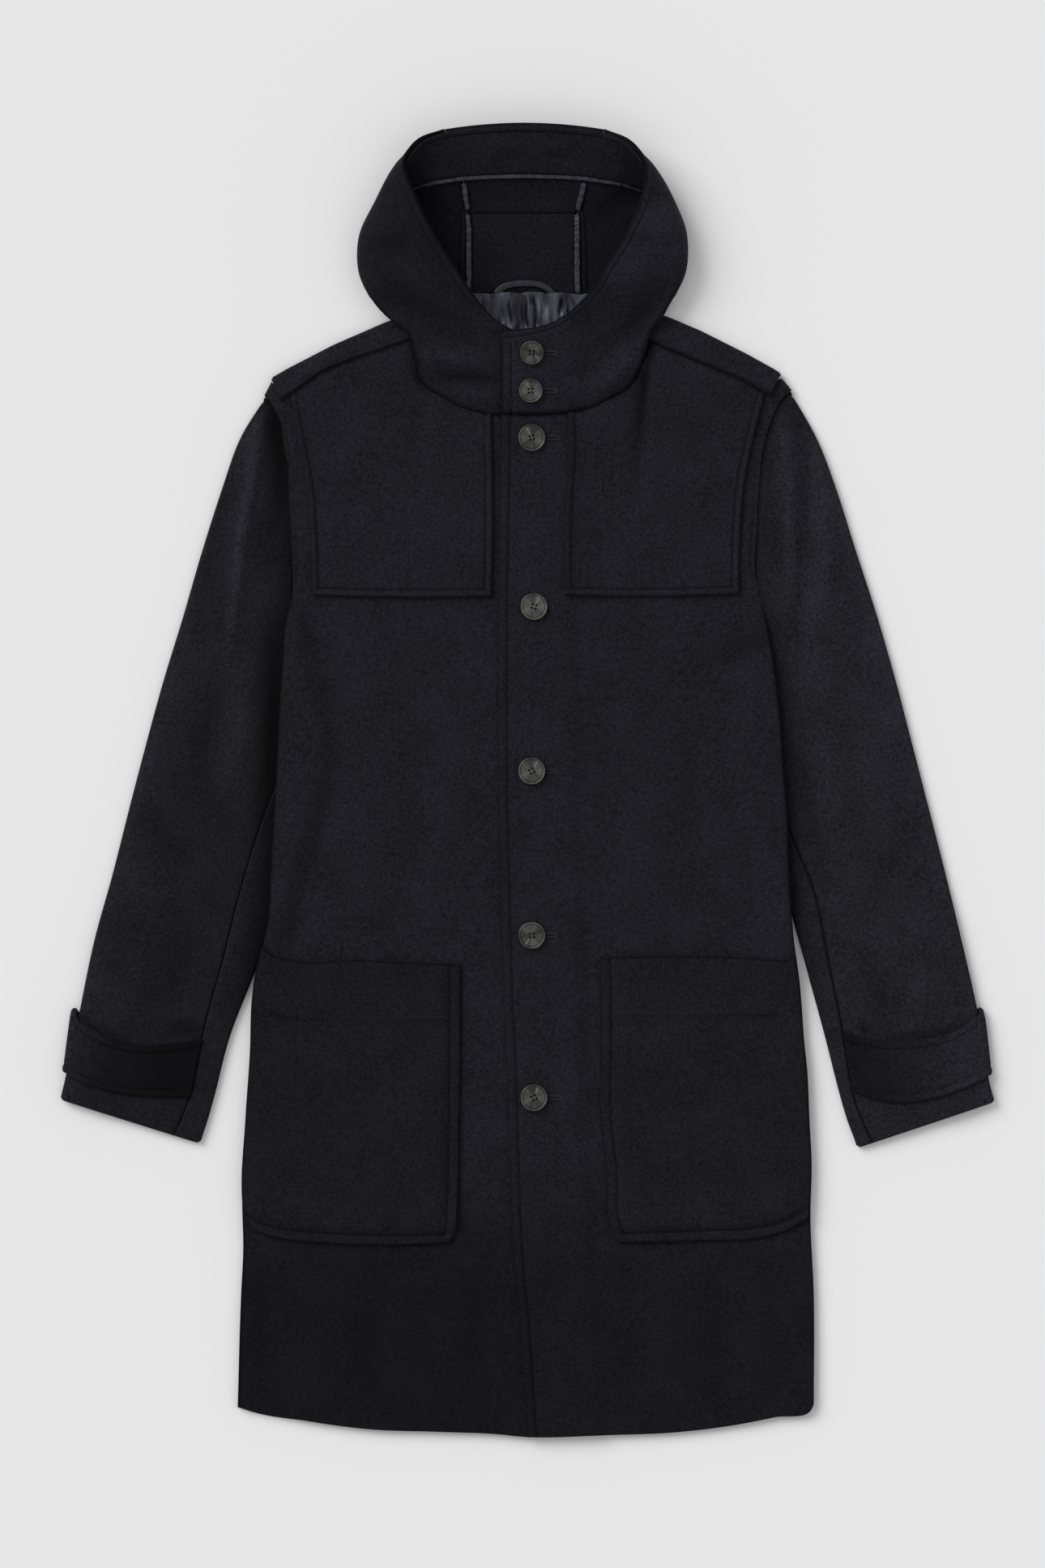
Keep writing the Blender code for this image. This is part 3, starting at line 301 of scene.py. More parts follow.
def wool_material(name, colour):
    """Navy melton: nearly black, mottled, darker by the painted shade kept on its mesh, with a few fibres of
    pale lint and a faint blue sheen over its nap where it turns from view."""
    material, tree = new_material(name)
    place = tree.nodes.new("ShaderNodeTexCoord").outputs["Object"]
    nap = add_node(tree, "ShaderNodeGroup", {"Vector": place, "Fibre Scale": 900.0},
                   node_tree=felted_nap).outputs
    painted_shade = add_node(tree, "ShaderNodeAttribute", {}, attribute_name="painted_shade").outputs["Fac"]
    dark, bright = (*[c * 0.1 for c in colour], 1.0), (*[c * 1.9 for c in colour], 1.0)
    tone = mixed_colours(tree, nap["Mottle"], dark, bright)
    shaded = mixed_colours(tree, painted_shade, tone, (0.0004, 0.0004, 0.0006, 1.0))
    set_inputs(tree.nodes["Principled BSDF"], {
        "Base Color": mixed_colours(tree, nap["Lint"], shaded, (0.06, 0.062, 0.075, 1.0)),
        "Roughness": 0.95, "Specular IOR Level": 0.12, "Sheen Weight": 0.045, "Sheen Roughness": 0.4,
        "Sheen Tint": (0.62, 0.68, 1.0, 1.0), "Normal": bumped(tree, nap["Height"], 1.0, 0.0009)})
    return material


felted_nap = nap_group()
wool = wool_material("navy_melton", (0.0100, 0.0094, 0.0134))

back_plan = between(
    smooth_line(SIDE_RIGHT[:16] + [(-213, 232)]), smooth_line(SIDE_LEFT[:19] + [(207, 232)]),
    smooth_line(HEM), smooth_line([(-213, 232)] + YOKE_SEAM[1:-1] + [(207, 232)]),
    spaced(480, 9), spaced(800, 9))
back = laid_piece("back_cloth", back_plan, BACK_MIDDLE + body_lift(back_plan[..., 0], back_plan[..., 1]),
                  WOOL, wool)
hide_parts("back")

# ------------------------------------------------------------------ fronts
# Two fronts of the same melton, with no lining that shows. The left one laps 55 mm over the right
# one, and its edge is turned and topstitched 8 mm in. They lie on the back with slow swells and
# with a few soft folds, which drag from the armholes and hang from the neck.
OPENING = [(0, -592), (-2, -560), (-6, -501), (-12, -432), (-18, -265), (-21, -200), (-23, -136),
           (-26, 0), (-26, 160), (-24, 272), (-23, 331)]
LAP_EDGE = [(331, 36), (298, 37), (241, 34), (166, 33), (-136, 40), (-265, 43), (-432, 50), (-590, 60)]
WING_EDGE_RIGHT = [(-231, 338), (-223, 342), (-205, 354), (-189, 366), (-164, 377), (-134, 387),
                   (-106, 397)]
WING_EDGE_LEFT = [(110, 395), (135, 384), (166, 371), (196, 358), (218, 346), (230, 341)]
NECK_SEAM = [(-97, 360), (-86, 350), (-66, 339), (-47, 333), (-32, 330), (-23, 330), (1, 330),
             (24, 331), (50, 335), (73, 343), (89, 352), (98, 364)]
UNDER_WING = 9.0
OPENING_INSET = 8.2
ARMHOLE_INSET = 6.2
# Distances in from a sewn edge and from a hidden one at which a grid has lines.
SEWN = (0, 0.2, 0.6, 1.2, 2.0, 3.0, 4.2, 5.3, 6.2, 7.0, 7.8, 8.6, 9.6, 11.0)
HIDDEN = (0, 1.4)

# Soft folds of the closed front: the line they run along, width, height (below zero for a trough),
# and whether both ends fade or only the far one.
FRONT_FOLDS = [
    ([(104, 360), (101, 325), (99, 290), (97, 262), (96, 235)], 8, -3.2, "far"),
    ([(116, 362), (114, 320), (112, 285), (111, 255)], 10, 2.0, "far"),
    ([(228, 142), (205, 126), (185, 112), (158, 100)], 11, -3.4, "far"),
    ([(226, 120), (205, 102), (184, 90), (158, 80)], 12, 2.6, "far"),
    ([(240, 128), (208, 112), (178, 102), (146, 98)], 21, -2.4, "far"),
    ([(-208, 150), (-190, 124), (-168, 102), (-150, 88)], 12, -2.2, "far"),
    ([(-205, 122), (-185, 97), (-165, 78)], 12, 1.8, "far"),
    ([(-95, 345), (-106, 300), (-110, 240)], 14, -1.8, "far"),
    ([(-80, 342), (-86, 300), (-84, 262)], 12, 1.4, "far"),
    ([(-150, 120), (-143, 20), (-152, -90), (-150, -140)], 24, 2.0, "both"),
    ([(-108, 150), (-104, 40), (-110, -80), (-104, -150)], 18, -1.5, "both"),
    ([(-70, 140), (-62, 0), (-72, -120)], 18, 1.2, "both"),
    ([(70, 150), (66, 20), (72, -100)], 16, -1.2, "both"),
    ([(98, 150), (104, 20), (112, -100), (112, -160)], 22, 1.6, "both"),
    ([(140, 70), (146, -30), (142, -130)], 17, -1.6, "both"),
    ([(176, 60), (182, -40), (178, -150)], 18, 1.8, "both"),
    ([(-190, -440), (-180, -510), (-186, -580)], 16, 1.8, "both"),
    ([(-148, -436), (-142, -500), (-146, -575)], 15, -1.6, "both"),
    ([(-98, -430), (-104, -510), (-100, -585)], 20, 1.5, "both"),
    ([(-50, -440), (-46, -520), (-50, -588)], 13, -1.3, "both"),
    ([(84, -436), (88, -510), (84, -585)], 14, -1.3, "both"),
    ([(126, -430), (132, -510), (128, -582)], 17, 1.9, "both"),
    ([(172, -430), (168, -500), (172, -575)], 14, -1.6, "both"),
    ([(210, -440), (214, -500), (216, -568)], 14, 1.6, "both"),
    ([(-244, -420), (-238, -480), (-244, -560)], 9, -1.3, "both"),
]

# Where the hood's roll keeps the light off the fronts, in the same columns as the folds.
HOOD_SHADE = [
    ([(-107, 395), (-103, 372), (-97, 358), (-86, 350)], 4.5, 0.55, "both"),
    ([(111, 396), (108.5, 380), (106.5, 366), (103.5, 344), (100, 318), (97, 280)], 5.0, 0.75, "far"),
    ([(98, 360), (88, 350), (74, 342)], 4.0, 0.45, "both"),
]


def bent_line(points):
    """A straight-sided line through points as a function of shares of its length."""
    points = np.array(points, dtype=float)
    place = run_along(points)
    return lambda shares: np.stack([np.interp(np.asarray(shares) * place[-1], place, points[:, k])
                                    for k in range(points.shape[1])], axis=1)


def bell(distance, width):
    """A bell curve, exp(-(distance / width)²): 1 at no distance, and nearly 0 at twice the width."""
    return np.exp(-(distance / width) ** 2)


def sewn_edge(distance, place, inset, swell, sink):
    """Height of a topstitched edge: thicker by swell from the edge to near the stitching, where the
    cloth is turned in, with a bell-shaped groove at the stitching and small uneven puckers along it."""
    band = swell * (1 - smooth_step((distance - 0.35 * inset) / (0.7 * inset)))
    groove = sink * bell(distance - inset, 1.05)
    pucker = 0.2 * np.sin(place / 2.3 + 1.6 * np.sin(place / 19)) * bell(distance - inset, 3.0)
    uneven = 0.22 * swell * np.sin(place / 13 + 2 * np.sin(place / 37)) * (distance < inset)
    return band - groove + pucker + uneven


def painted_seam_shade(distance, inset):
    """Painted shade at a sewn edge: darkest at the turned edge and at the stitching."""
    return 0.8 * bell(distance, 1.1) + 0.6 * bell(distance - inset, 0.75)


def gap_to(x, y, path):
    """Distance of each point from a line of points, and the share of the line that is nearest."""
    spots = np.stack([x, y], axis=-1)
    path = np.array(path, dtype=float)
    gap = np.full(np.shape(x), 1e9)
    place = np.zeros(np.shape(x))
    for i in range(len(path) - 1):
        step = path[i + 1] - path[i]
        t = np.clip((spots - path[i]) @ step / (step @ step), 0, 1)
        distance = np.linalg.norm(spots - (path[i] + t[..., None] * step), axis=-1)
        place = np.where(distance < gap, (i + t) / (len(path) - 1), place)
        gap = np.minimum(distance, gap)
    return gap, place


def folds(x, y, table):
    """Sum of soft ridges and troughs: each is its height times a bell across its line, times a half
    sine along it, or a quarter cosine where only the far end fades."""
    total = np.zeros(np.shape(x))
    for line, width, height, fading in table:
        gap, place = gap_to(x, y, smooth_line(line)(np.linspace(0, 1, 13)))
        along = np.sin(np.pi * place) if fading == "both" else np.cos(np.pi / 2 * place)
        total = total + height * bell(gap, width) * np.clip(along, 0, 1) ** 0.8
    return total


def swell(x, y):
    """Slow waves of cloth that doesn't lie quite flat: three slanted sines."""
    return (0.55 + 0.24 * np.sin(x / 31 + y / 87) + 0.2 * np.sin(x / 57 - y / 43 + 1.7)
            + 0.12 * np.sin(y / 19 + x / 71 + 0.6))


def sewn_in(x, y, line, depth, width):
    """How far cloth sinks towards a seam line that holds it down: a bell across the line."""
    return depth * bell(gap_to(x, y, line)[0], width)


def front_height(x, y):
    """Middle of a front's cloth: its layer, the lift over the sleeves, the swell and the folds. It
    keeps above the back, and sinks a little towards the neck seam."""
    loose = swell(x, y) + folds(x, y, FRONT_FOLDS)
    loose = np.where(loose < 0, 0.8 * np.tanh(loose / 0.8), loose) + 0.6
    return FRONT_MIDDLE + body_lift(x, y) + loose - sewn_in(x, y, NECK_SEAM, 1.3, 4.0)


def lap_rise(x, y):
    """The left front climbs a layer, to lie over the right one as far as that one reaches."""
    return LAYER * (1 - smooth_step((x - across_at(LAP_EDGE)(y)) / 14))


def front_tone(x, y):
    """How dark a front is painted: darker towards the hem, most on the right, and painted shade in the
    troughs of its folds and beside the hood."""
    lower = (0.5 - 0.13 * smooth_step((x + 40) / 80)) * smooth_step((-320 - y) / 140)
    return lower + 0.085 * (-folds(x, y, FRONT_FOLDS)).clip(0) + folds(x, y, HOOD_SHADE)


def painted_side_shade(distance):
    """Painted shade in a narrow line along a side seam."""
    return 0.85 * bell(distance, 1.6)


def split_hem(start, end):
    """The hem between two x, with a point at each end."""
    hem = np.array(HEM, dtype=float)
    inside = [tuple(p) for p in hem if start + 4 < p[0] < end - 4]
    return [(start, np.interp(start, *hem.T))] + inside + [(end, np.interp(end, *hem.T))]


def front_finish(plan, armhole_edge, armhole_low):
    """What both fronts share: the relief of the armhole's sewing and of the hem's soft roll, and their
    painted shade. The armhole's stitching fades in over 25 mm above its low end."""
    x, y = plan[..., 0], plan[..., 1]
    distances = edge_distances(plan)
    beside = distances[armhole_edge]
    armhole = np.clip((y - armhole_low) / 25, 0, 1)
    relief = armhole * sewn_edge(beside, y, ARMHOLE_INSET, 0.5, 0.9)
    relief = relief + 0.35 * bell(distances["bottom"] - 3, 3)
    painted_shade = np.maximum(armhole * painted_seam_shade(beside, ARMHOLE_INSET), painted_side_shade(beside))
    return relief, painted_shade + front_tone(x, y)


neck_right = [p for p in NECK_SEAM if p[0] <= 24]
right_top = ([SIDE_RIGHT[-1], (-230.5, 358.5)] + [(x, y + UNDER_WING) for x, y in WING_EDGE_RIGHT[1:]]
             + neck_right + [(36, 332)])
right_bottom = [SIDE_RIGHT[0]] + split_hem(-249, 60)[1:]
right_lap = [right_bottom[-1]] + [(x - 2, y) for y, x in LAP_EDGE[-2:0:-1]] + [(36, 332)]
right_plan = between(
    smooth_line(SIDE_RIGHT), smooth_line(right_lap), smooth_line(right_bottom), bent_line(right_top),
    spaced(300, 4.5, end=HIDDEN), spaced(900, 4.5, end=HIDDEN))
x, y = right_plan[..., 0], right_plan[..., 1]
relief, painted_shade = front_finish(right_plan, "left", 165)
front_right = laid_piece("front_right_cloth", right_plan, front_height(x, y), WOOL, wool, relief=relief,
                         painted_shade=painted_shade)
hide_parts("front_right")

left_top = ([(-23, 331)] + [p for p in NECK_SEAM if p[0] > -23]
            + [(x, y + UNDER_WING) for x, y in WING_EDGE_LEFT[:-1]] + [(229, 362), SIDE_LEFT[-1]])
left_bottom = [(0, -592)] + [p for p in HEM if p[0] > 20]
left_plan = between(
    smooth_line(OPENING), smooth_line(SIDE_LEFT), smooth_line(left_bottom), bent_line(left_top),
    spaced(270, 4.5, start=SEWN), spaced(900, 4.5, end=HIDDEN))
x, y = left_plan[..., 0], left_plan[..., 1]
relief, painted_shade = front_finish(left_plan, "right", 170)
from_opening = edge_distances(left_plan)["left"]
relief = relief + sewn_edge(from_opening, y, OPENING_INSET, 0.9, 0.95)
# Painted shade: the opening is darkest where it goes under the hood.
painted_shade = painted_shade + painted_seam_shade(from_opening, OPENING_INSET) + bell(x + 2.5, 5.5) * bell(y - 330, 2.2)
front_left = laid_piece("front_left_cloth", left_plan, front_height(x, y) + lap_rise(x, y), WOOL, wool,
                        relief=relief, painted_shade=painted_shade)
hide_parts("front_left")

# ------------------------------------------------------------------ chest patches
# A second layer of melton over each side of the chest, with its free edges turned in and topstitched
# 7 mm from the fold. Its top goes into the neck seam and under the yoke.
PATCH_WOOL = 2.5
PATCH_RISE = 3.05
PATCH_INSET = 6.6
PATCH_OUTER_RIGHT = [(-194, 166), (-195, 200), (-196, 231), (-198.5, 262), (-203.5, 290), (-209, 320),
                     (-214, 350)]
PATCH_OUTER_LEFT = [(191, 167), (191, 200), (193, 241), (196, 270), (202, 300), (209, 328), (215, 350)]
PATCH_FRONT_RIGHT = [(-32, 165), (-31, 221), (-31.5, 290), (-32, 330)]
PATCH_FRONT_LEFT = [(33, 166), (34, 241), (37, 298), (36, 331)]


def patch_piece(side, plan, base):
    """A patch on a front: the front's own height at each point, moved up by a layer and puffed a little
    inside its stitching, and held down by the yoke's wing and the neck seam."""
    x, y = plan[..., 0], plan[..., 1]
    inset = nearest(plan, ("left", "right", "bottom"))
    puff = 0.7 * smooth_step((inset - 8) / 30)
    held = sewn_in(x, y, WING_EDGE_RIGHT + WING_EDGE_LEFT, 1.9, 7.0) + sewn_in(x, y, NECK_SEAM, 0.9, 4.0)
    # Painted shade: dark lines at its turned edges and stitching, and the front's own painted shade.
    piece = laid_piece(f"chest_patch_{side}_cloth", plan, base + PATCH_RISE + puff - held, PATCH_WOOL, wool,
                       roll=1.9, relief=sewn_edge(inset, x + y, PATCH_INSET, 1.1, 1.0),
                       painted_shade=painted_seam_shade(inset, PATCH_INSET) + front_tone(x, y))
    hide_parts("chest_patch_" + side)
    return piece


patch_right_plan = between(
    smooth_line(PATCH_OUTER_RIGHT), smooth_line(PATCH_FRONT_RIGHT),
    smooth_line([(-194, 166), (-140, 164.5), (-90, 164), (-32, 165)]),
    bent_line([(-213, 350), (-205, 358), (-189, 370), (-164, 381), (-134, 391), (-106, 401), (-97, 360)]
              + NECK_SEAM[1:4] + [(-32, 330)]),
    spaced(165, 4, start=SEWN, end=SEWN), spaced(190, 4, start=SEWN, end=HIDDEN))
x, y = patch_right_plan[..., 0], patch_right_plan[..., 1]
patch_right = patch_piece("right", patch_right_plan, front_height(x, y))

patch_left_plan = between(
    smooth_line(PATCH_FRONT_LEFT), smooth_line(PATCH_OUTER_LEFT),
    smooth_line([(33, 166), (90, 165), (140, 165.5), (191, 167)]),
    bent_line([(36, 331)] + NECK_SEAM[8:] + [(110, 399), (135, 388), (166, 375), (196, 362), (210, 352)]),
    spaced(158, 4, start=SEWN, end=SEWN), spaced(190, 4, start=SEWN, end=HIDDEN))
x, y = patch_left_plan[..., 0], patch_left_plan[..., 1]
patch_left = patch_piece("left", patch_left_plan, front_height(x, y) + lap_rise(x, y) * 0.9)

# ------------------------------------------------------------------ pockets
# Two large bag pockets of melton over the hips, sewn down twice along the front and the bottom, and
# caught in the side seams. The bag sags a little over its bottom seam, which puts a deep groove
# there. The mouth's hem is turned in 50 mm and caught with small stitches.
POCKET_TOP_RIGHT = [(-239, -149), (-236, -153), (-232, -156), (-222, -160), (-207, -163), (-153, -162),
                    (-100, -164.5), (-60, -166)]
POCKET_TOP_LEFT = [(65, -160), (110, -159), (150, -158.7), (196, -160), (223, -162), (234, -162),
                   (241, -158)]
POCKET_BOTTOM_RIGHT = [(-255, -398), (-243, -407), (-228, -412), (-185, -417), (-121, -419), (-70, -417)]
POCKET_BOTTOM_LEFT = [(82, -417), (120, -416), (164, -415), (206, -413), (230, -407), (254, -395)]
POCKET_FRONT_INSET = 9.6
POCKET_BOTTOM_INSET = 9.4
POCKET_HEM = 51.0


def pocket_piece(side, plan, base, front_side, outer_side, tone):
    """A pocket on a front, moved up by a layer, with a groove along its seams that is deepest at the
    bottom, where the bag sags over it, and a slightly open mouth."""
    distances = edge_distances(plan)
    front, outer = distances[front_side], distances[outer_side]
    bottom, top = distances["bottom"], distances["top"]
    relief = (sewn_edge(front, plan[..., 1], POCKET_FRONT_INSET, 0.5, 0.9) * smooth_step(bottom / 9)
              + sewn_edge(bottom, plan[..., 0], POCKET_BOTTOM_INSET, 0.5, 1.3) * smooth_step(front / 9))
    sag = (2.4 * smooth_step((bottom - POCKET_BOTTOM_INSET) / 5) * bell((bottom - 16).clip(0), 34)
           + 1.3 * smooth_step((front - POCKET_FRONT_INSET) / 5) * bell((front - 14).clip(0), 22))
    sag = sag * smooth_step(outer / 22)
    mouth = 2.2 * bell(top, 16) * smooth_step(front / 34) * smooth_step(outer / 30)
    hem = bell(top - POCKET_HEM, 1.3) * smooth_step((outer - 10) / 12) * smooth_step((front - 8) / 4)
    turn_in = 0.35 * (1 - smooth_step((top - POCKET_HEM + 1) / 3))
    # Painted shade: an even tone for each side, dark lines at the seams' stitching, at the mouth and the
    # outer edge, and at the hem's stitches.
    painted_shade = tone + painted_seam_shade(np.minimum(front, bottom), 9.5) + 0.95 * bell(np.minimum(top, outer), 1.5)
    piece = laid_piece(f"pocket_{side}_cloth", plan, base + PATCH_RISE + sag + mouth, PATCH_WOOL, wool,
                       roll=1.9, relief=relief + turn_in - 0.6 * hem, painted_shade=painted_shade + 0.42 * hem)
    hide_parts("pocket_" + side)
    return piece


pocket_right_plan = between(
    smooth_line([(-255, -398), (-257, -378), (-254, -305), (-250, -246), (-248, -195), (-245, -173),
                 (-239, -149)]),
    smooth_line([(-70, -417), (-65, -408), (-63, -385), (-61, -300), (-60, -230), (-60, -166)]),
    smooth_line(POCKET_BOTTOM_RIGHT), smooth_line(POCKET_TOP_RIGHT),
    spaced(185, 4, end=SEWN), spaced(253, 4, start=SEWN))
x, y = pocket_right_plan[..., 0], pocket_right_plan[..., 1]
pocket_right = pocket_piece("right", pocket_right_plan, front_height(x, y), "right", "left", 0.27)

pocket_left_plan = between(
    smooth_line([(82, -417), (75, -404), (71, -351), (66, -308), (66, -230), (65, -160)]),
    smooth_line([(254, -395), (256, -349), (254, -305), (252, -261), (249, -232), (247, -203),
                 (244, -173), (241, -158)]),
    smooth_line(POCKET_BOTTOM_LEFT), smooth_line(POCKET_TOP_LEFT),
    spaced(178, 4, start=SEWN), spaced(253, 4, start=SEWN))
x, y = pocket_left_plan[..., 0], pocket_left_plan[..., 1]
pucker = folds(x, y, [([(76, -221), (100, -223), (122, -222)], 4, -1.2, "far")])
pocket_left = pocket_piece("left", pocket_left_plan, front_height(x, y) + pucker, "left", "right", 0.19)

# ------------------------------------------------------------------ sleeves
# Two-piece sleeves of melton with a paler base colour, which their painted shade darkens again, laid
# flat. The top sleeve covers the upper wall from the forearm seam out, and goes round the outer fold to
# a seam underneath. The under sleeve goes on from there round the inner fold. Both are sewn into the
# armholes; the cuffs are open tubes.
SLEEVE_WOOL = 2.4
FOLD_RADIUS = 1.8
PUFF = 2.0
BACK_SEAM_IN = 25.0
STRAP_WOOL = 2.0
STRAP_GAP = 0.3
# How far in from a tube's edge its walls end and its turned edge starts.
TUBE_EDGE = FOLD_RADIUS + SLEEVE_WOOL / 2
# The cuff's corners are rounded over this share of its width, and stand back by these shares of a
# section at the outer and the inner edge, from this place on.
CORNER_SHARE = 0.035
CORNER_OUT = 0.09
CORNER_IN = 0.11
CORNER_FROM = 11.4
LAST_SECTION = 12

# Sections across the flattened tube: outer edge, middle and inner edge as x and y, how far the
# forearm seam lies in from the inner edge, and how far the tube puffs up. The first is in the armhole.
SLEEVE_RIGHT = [
    (-258, 308, -230, 228, -212, 139, 5, 0.6),
    (-274, 265, -241, 186, -212, 116, 7, 1.0),
    (-293, 206, -251, 145, -209, 93, 12, 1.0),
    (-310, 148, -256, 102, -202, 65, 18, 1.0),
    (-328, 89, -262, 52, -194, 24, 26, 1.0),
    (-344, 31, -271, 5, -197, -10, 31, 1.0),
    (-359, -27, -284, -42, -206, -45, 35, 1.0),
    (-374, -86, -300, -100, -223.5, -100, 35, 1.0),
    (-390, -144, -318, -163, -243, -166, 32, 1.0),
    (-403, -210, -352, -240, -266, -228, 21, 1.0),
    (-415, -266, -358, -284, -281, -284, 19, 0.9),
    (-420.5, -288, -364, -306, -293.5, -328, 22, 0.8),
]
SLEEVE_LEFT = [
    (260, 308, 228, 228, 208, 141, 5, 0.6),
    (277, 265, 241, 188, 210, 116, 7, 1.0),
    (296, 206, 253, 147, 211, 95, 11, 1.0),
    (315, 148, 262, 106, 211, 70, 15, 1.0),
    (332, 89, 270, 58, 208, 35, 15, 1.0),
    (347, 31, 279, 10, 210, -5, 14, 1.0),
    (362, -27, 291, -40, 219, -45, 16, 1.0),
    (377, -86, 306, -98, 232.5, -100, 25, 1.0),
    (391, -144, 322, -160, 250, -165, 21, 1.0),
    (405, -206, 342, -238, 267, -228, 17, 1.0),
    (416, -268, 344, -291, 282, -284, 15, 0.9),
    (421, -290, 362, -310, 296, -332, 14, 0.8),
]
ARMHOLE_RIGHT = [(-235.5, 345), (-229, 335), (-222, 322.5), (-219, 303), (-215, 282), (-214, 251),
                 (-212, 221), (-212, 160)]
ARMHOLE_LEFT = [(236.5, 350), (227.5, 340), (220, 323.5), (213, 302), (209, 272), (207, 244),
                (206, 221), (205, 184), (209, 164)]
ARMHOLE_SEAM_IN = 4.0
ARMHOLE_LIFT = [1.4, 0.4, 0.5]

SLEEVE_FOLDS_RIGHT = [
    ([(-240, 330), (-247, 281), (-255, 229), (-261, 184), (-267, 138), (-272, 90)], 7, 5.2, "far"),
    ([(-230, 320), (-225, 285), (-229, 245), (-238, 190), (-246, 150)], 9, -2.6, "far"),
    ([(-228, 170), (-231, 110), (-232, 50), (-238, -20), (-250, -70)], 9, -2.6, "both"),
    ([(-262, 300), (-276, 240), (-290, 180), (-299, 110)], 9, -1.6, "both"),
    ([(-252, 120), (-256, 60), (-268, -20)], 12, 3.0, "both"),
    ([(-300, 130), (-318, 60), (-332, 0)], 16, 2.2, "both"),
    ([(-280, 90), (-292, 30), (-302, -30)], 12, -1.5, "both"),
    ([(-345, -20), (-320, -60), (-300, -80)], 12, -1.9, "both"),
    ([(-362, -70), (-335, -108), (-312, -122)], 13, 2.0, "both"),
    ([(-300, -130), (-318, -180), (-330, -220)], 12, -1.8, "both"),
    ([(-385, -165), (-372, -200), (-360, -225)], 11, 1.7, "both"),
    ([(-345, -150), (-352, -200), (-362, -232)], 11, 1.5, "both"),
]
SLEEVE_FOLDS_LEFT = [
    ([(232, 322), (235, 284), (238, 238), (240, 199), (241, 160)], 6, 4.4, "far"),
    ([(247, 335), (250, 282), (249, 227), (245, 157), (242, 108), (242, 60)], 8, -3.0, "far"),
    ([(236, 322), (236, 269), (233, 227), (223, 187)], 3.6, -1.4, "both"),
    ([(262, 290), (270, 240), (270, 190), (260, 140), (258, 90)], 11, 3.4, "both"),
    ([(226, 250), (224, 210), (232, 180)], 7, -1.8, "both"),
    ([(285, 240), (296, 170), (302, 110)], 13, -1.6, "both"),
    ([(243, 60), (252, 0), (262, -60), (274, -110)], 10, -2.2, "both"),
    ([(262, 50), (276, -20), (290, -90)], 12, 2.4, "both"),
    ([(330, 70), (318, 20), (300, -10)], 13, 1.9, "both"),
    ([(352, -40), (330, -70), (308, -84)], 12, -1.8, "both"),
    ([(372, -110), (345, -150), (322, -170)], 12, 1.9, "both"),
    ([(300, -150), (322, -200), (330, -230)], 12, -1.7, "both"),
    ([(350, -170), (352, -210), (345, -245)], 10, 1.6, "both"),
]


def surface_normals(grid):
    """Unit normals of a grid, on its side that faces up: the cross product of its steps across and
    along."""
    normal = np.cross(np.gradient(grid, axis=1), np.gradient(grid, axis=0))
    normal = normal / np.maximum(np.linalg.norm(normal, axis=2, keepdims=True), 1e-9)
    return normal * np.sign(normal[..., 2].mean())


def curved_piece(name, middle, thickness, material, roll=1.4, relief=0.0, painted_shade=0.0):
    """A cloth piece of any form: points of its middle moved both ways along the surface's normals,
    by half its thickness, rolled to nothing at its edges. Relief is added to the face that is up."""
    normal = surface_normals(middle)
    inner = rolled(nearest(middle), roll)[..., None]
    half = thickness / 2 * inner
    extra = relief[..., None] if np.ndim(relief) else relief
    upper = middle + normal * (half + extra * inner)
    return closed_wall(name, upper, middle - normal * half, material, painted_shade)


def rounded(rows, places, own=()):
    """Rows of a table read at places between them, with smooth changes (Catmull-Rom). Where each point
    has a place of its own, own says which column of the table it reads."""
    rows = np.array(rows, dtype=float)
    padded = np.concatenate([2 * rows[:1] - rows[1:2], rows, 2 * rows[-1:] - rows[-2:-1]])
    i = np.clip(np.floor(places).astype(int), 0, len(rows) - 2)
    t = (np.asarray(places) - i).reshape(i.shape + (1,) * (rows.ndim - 1 - len(own)))
    a, b, c, d = (padded[(i + k, *own)] for k in range(4))
    return 0.5 * (2 * b + (c - a) * t + (2 * a - 5 * b + 4 * c - d) * t ** 2
                  + (3 * b - 3 * c + d - a) * t ** 3)


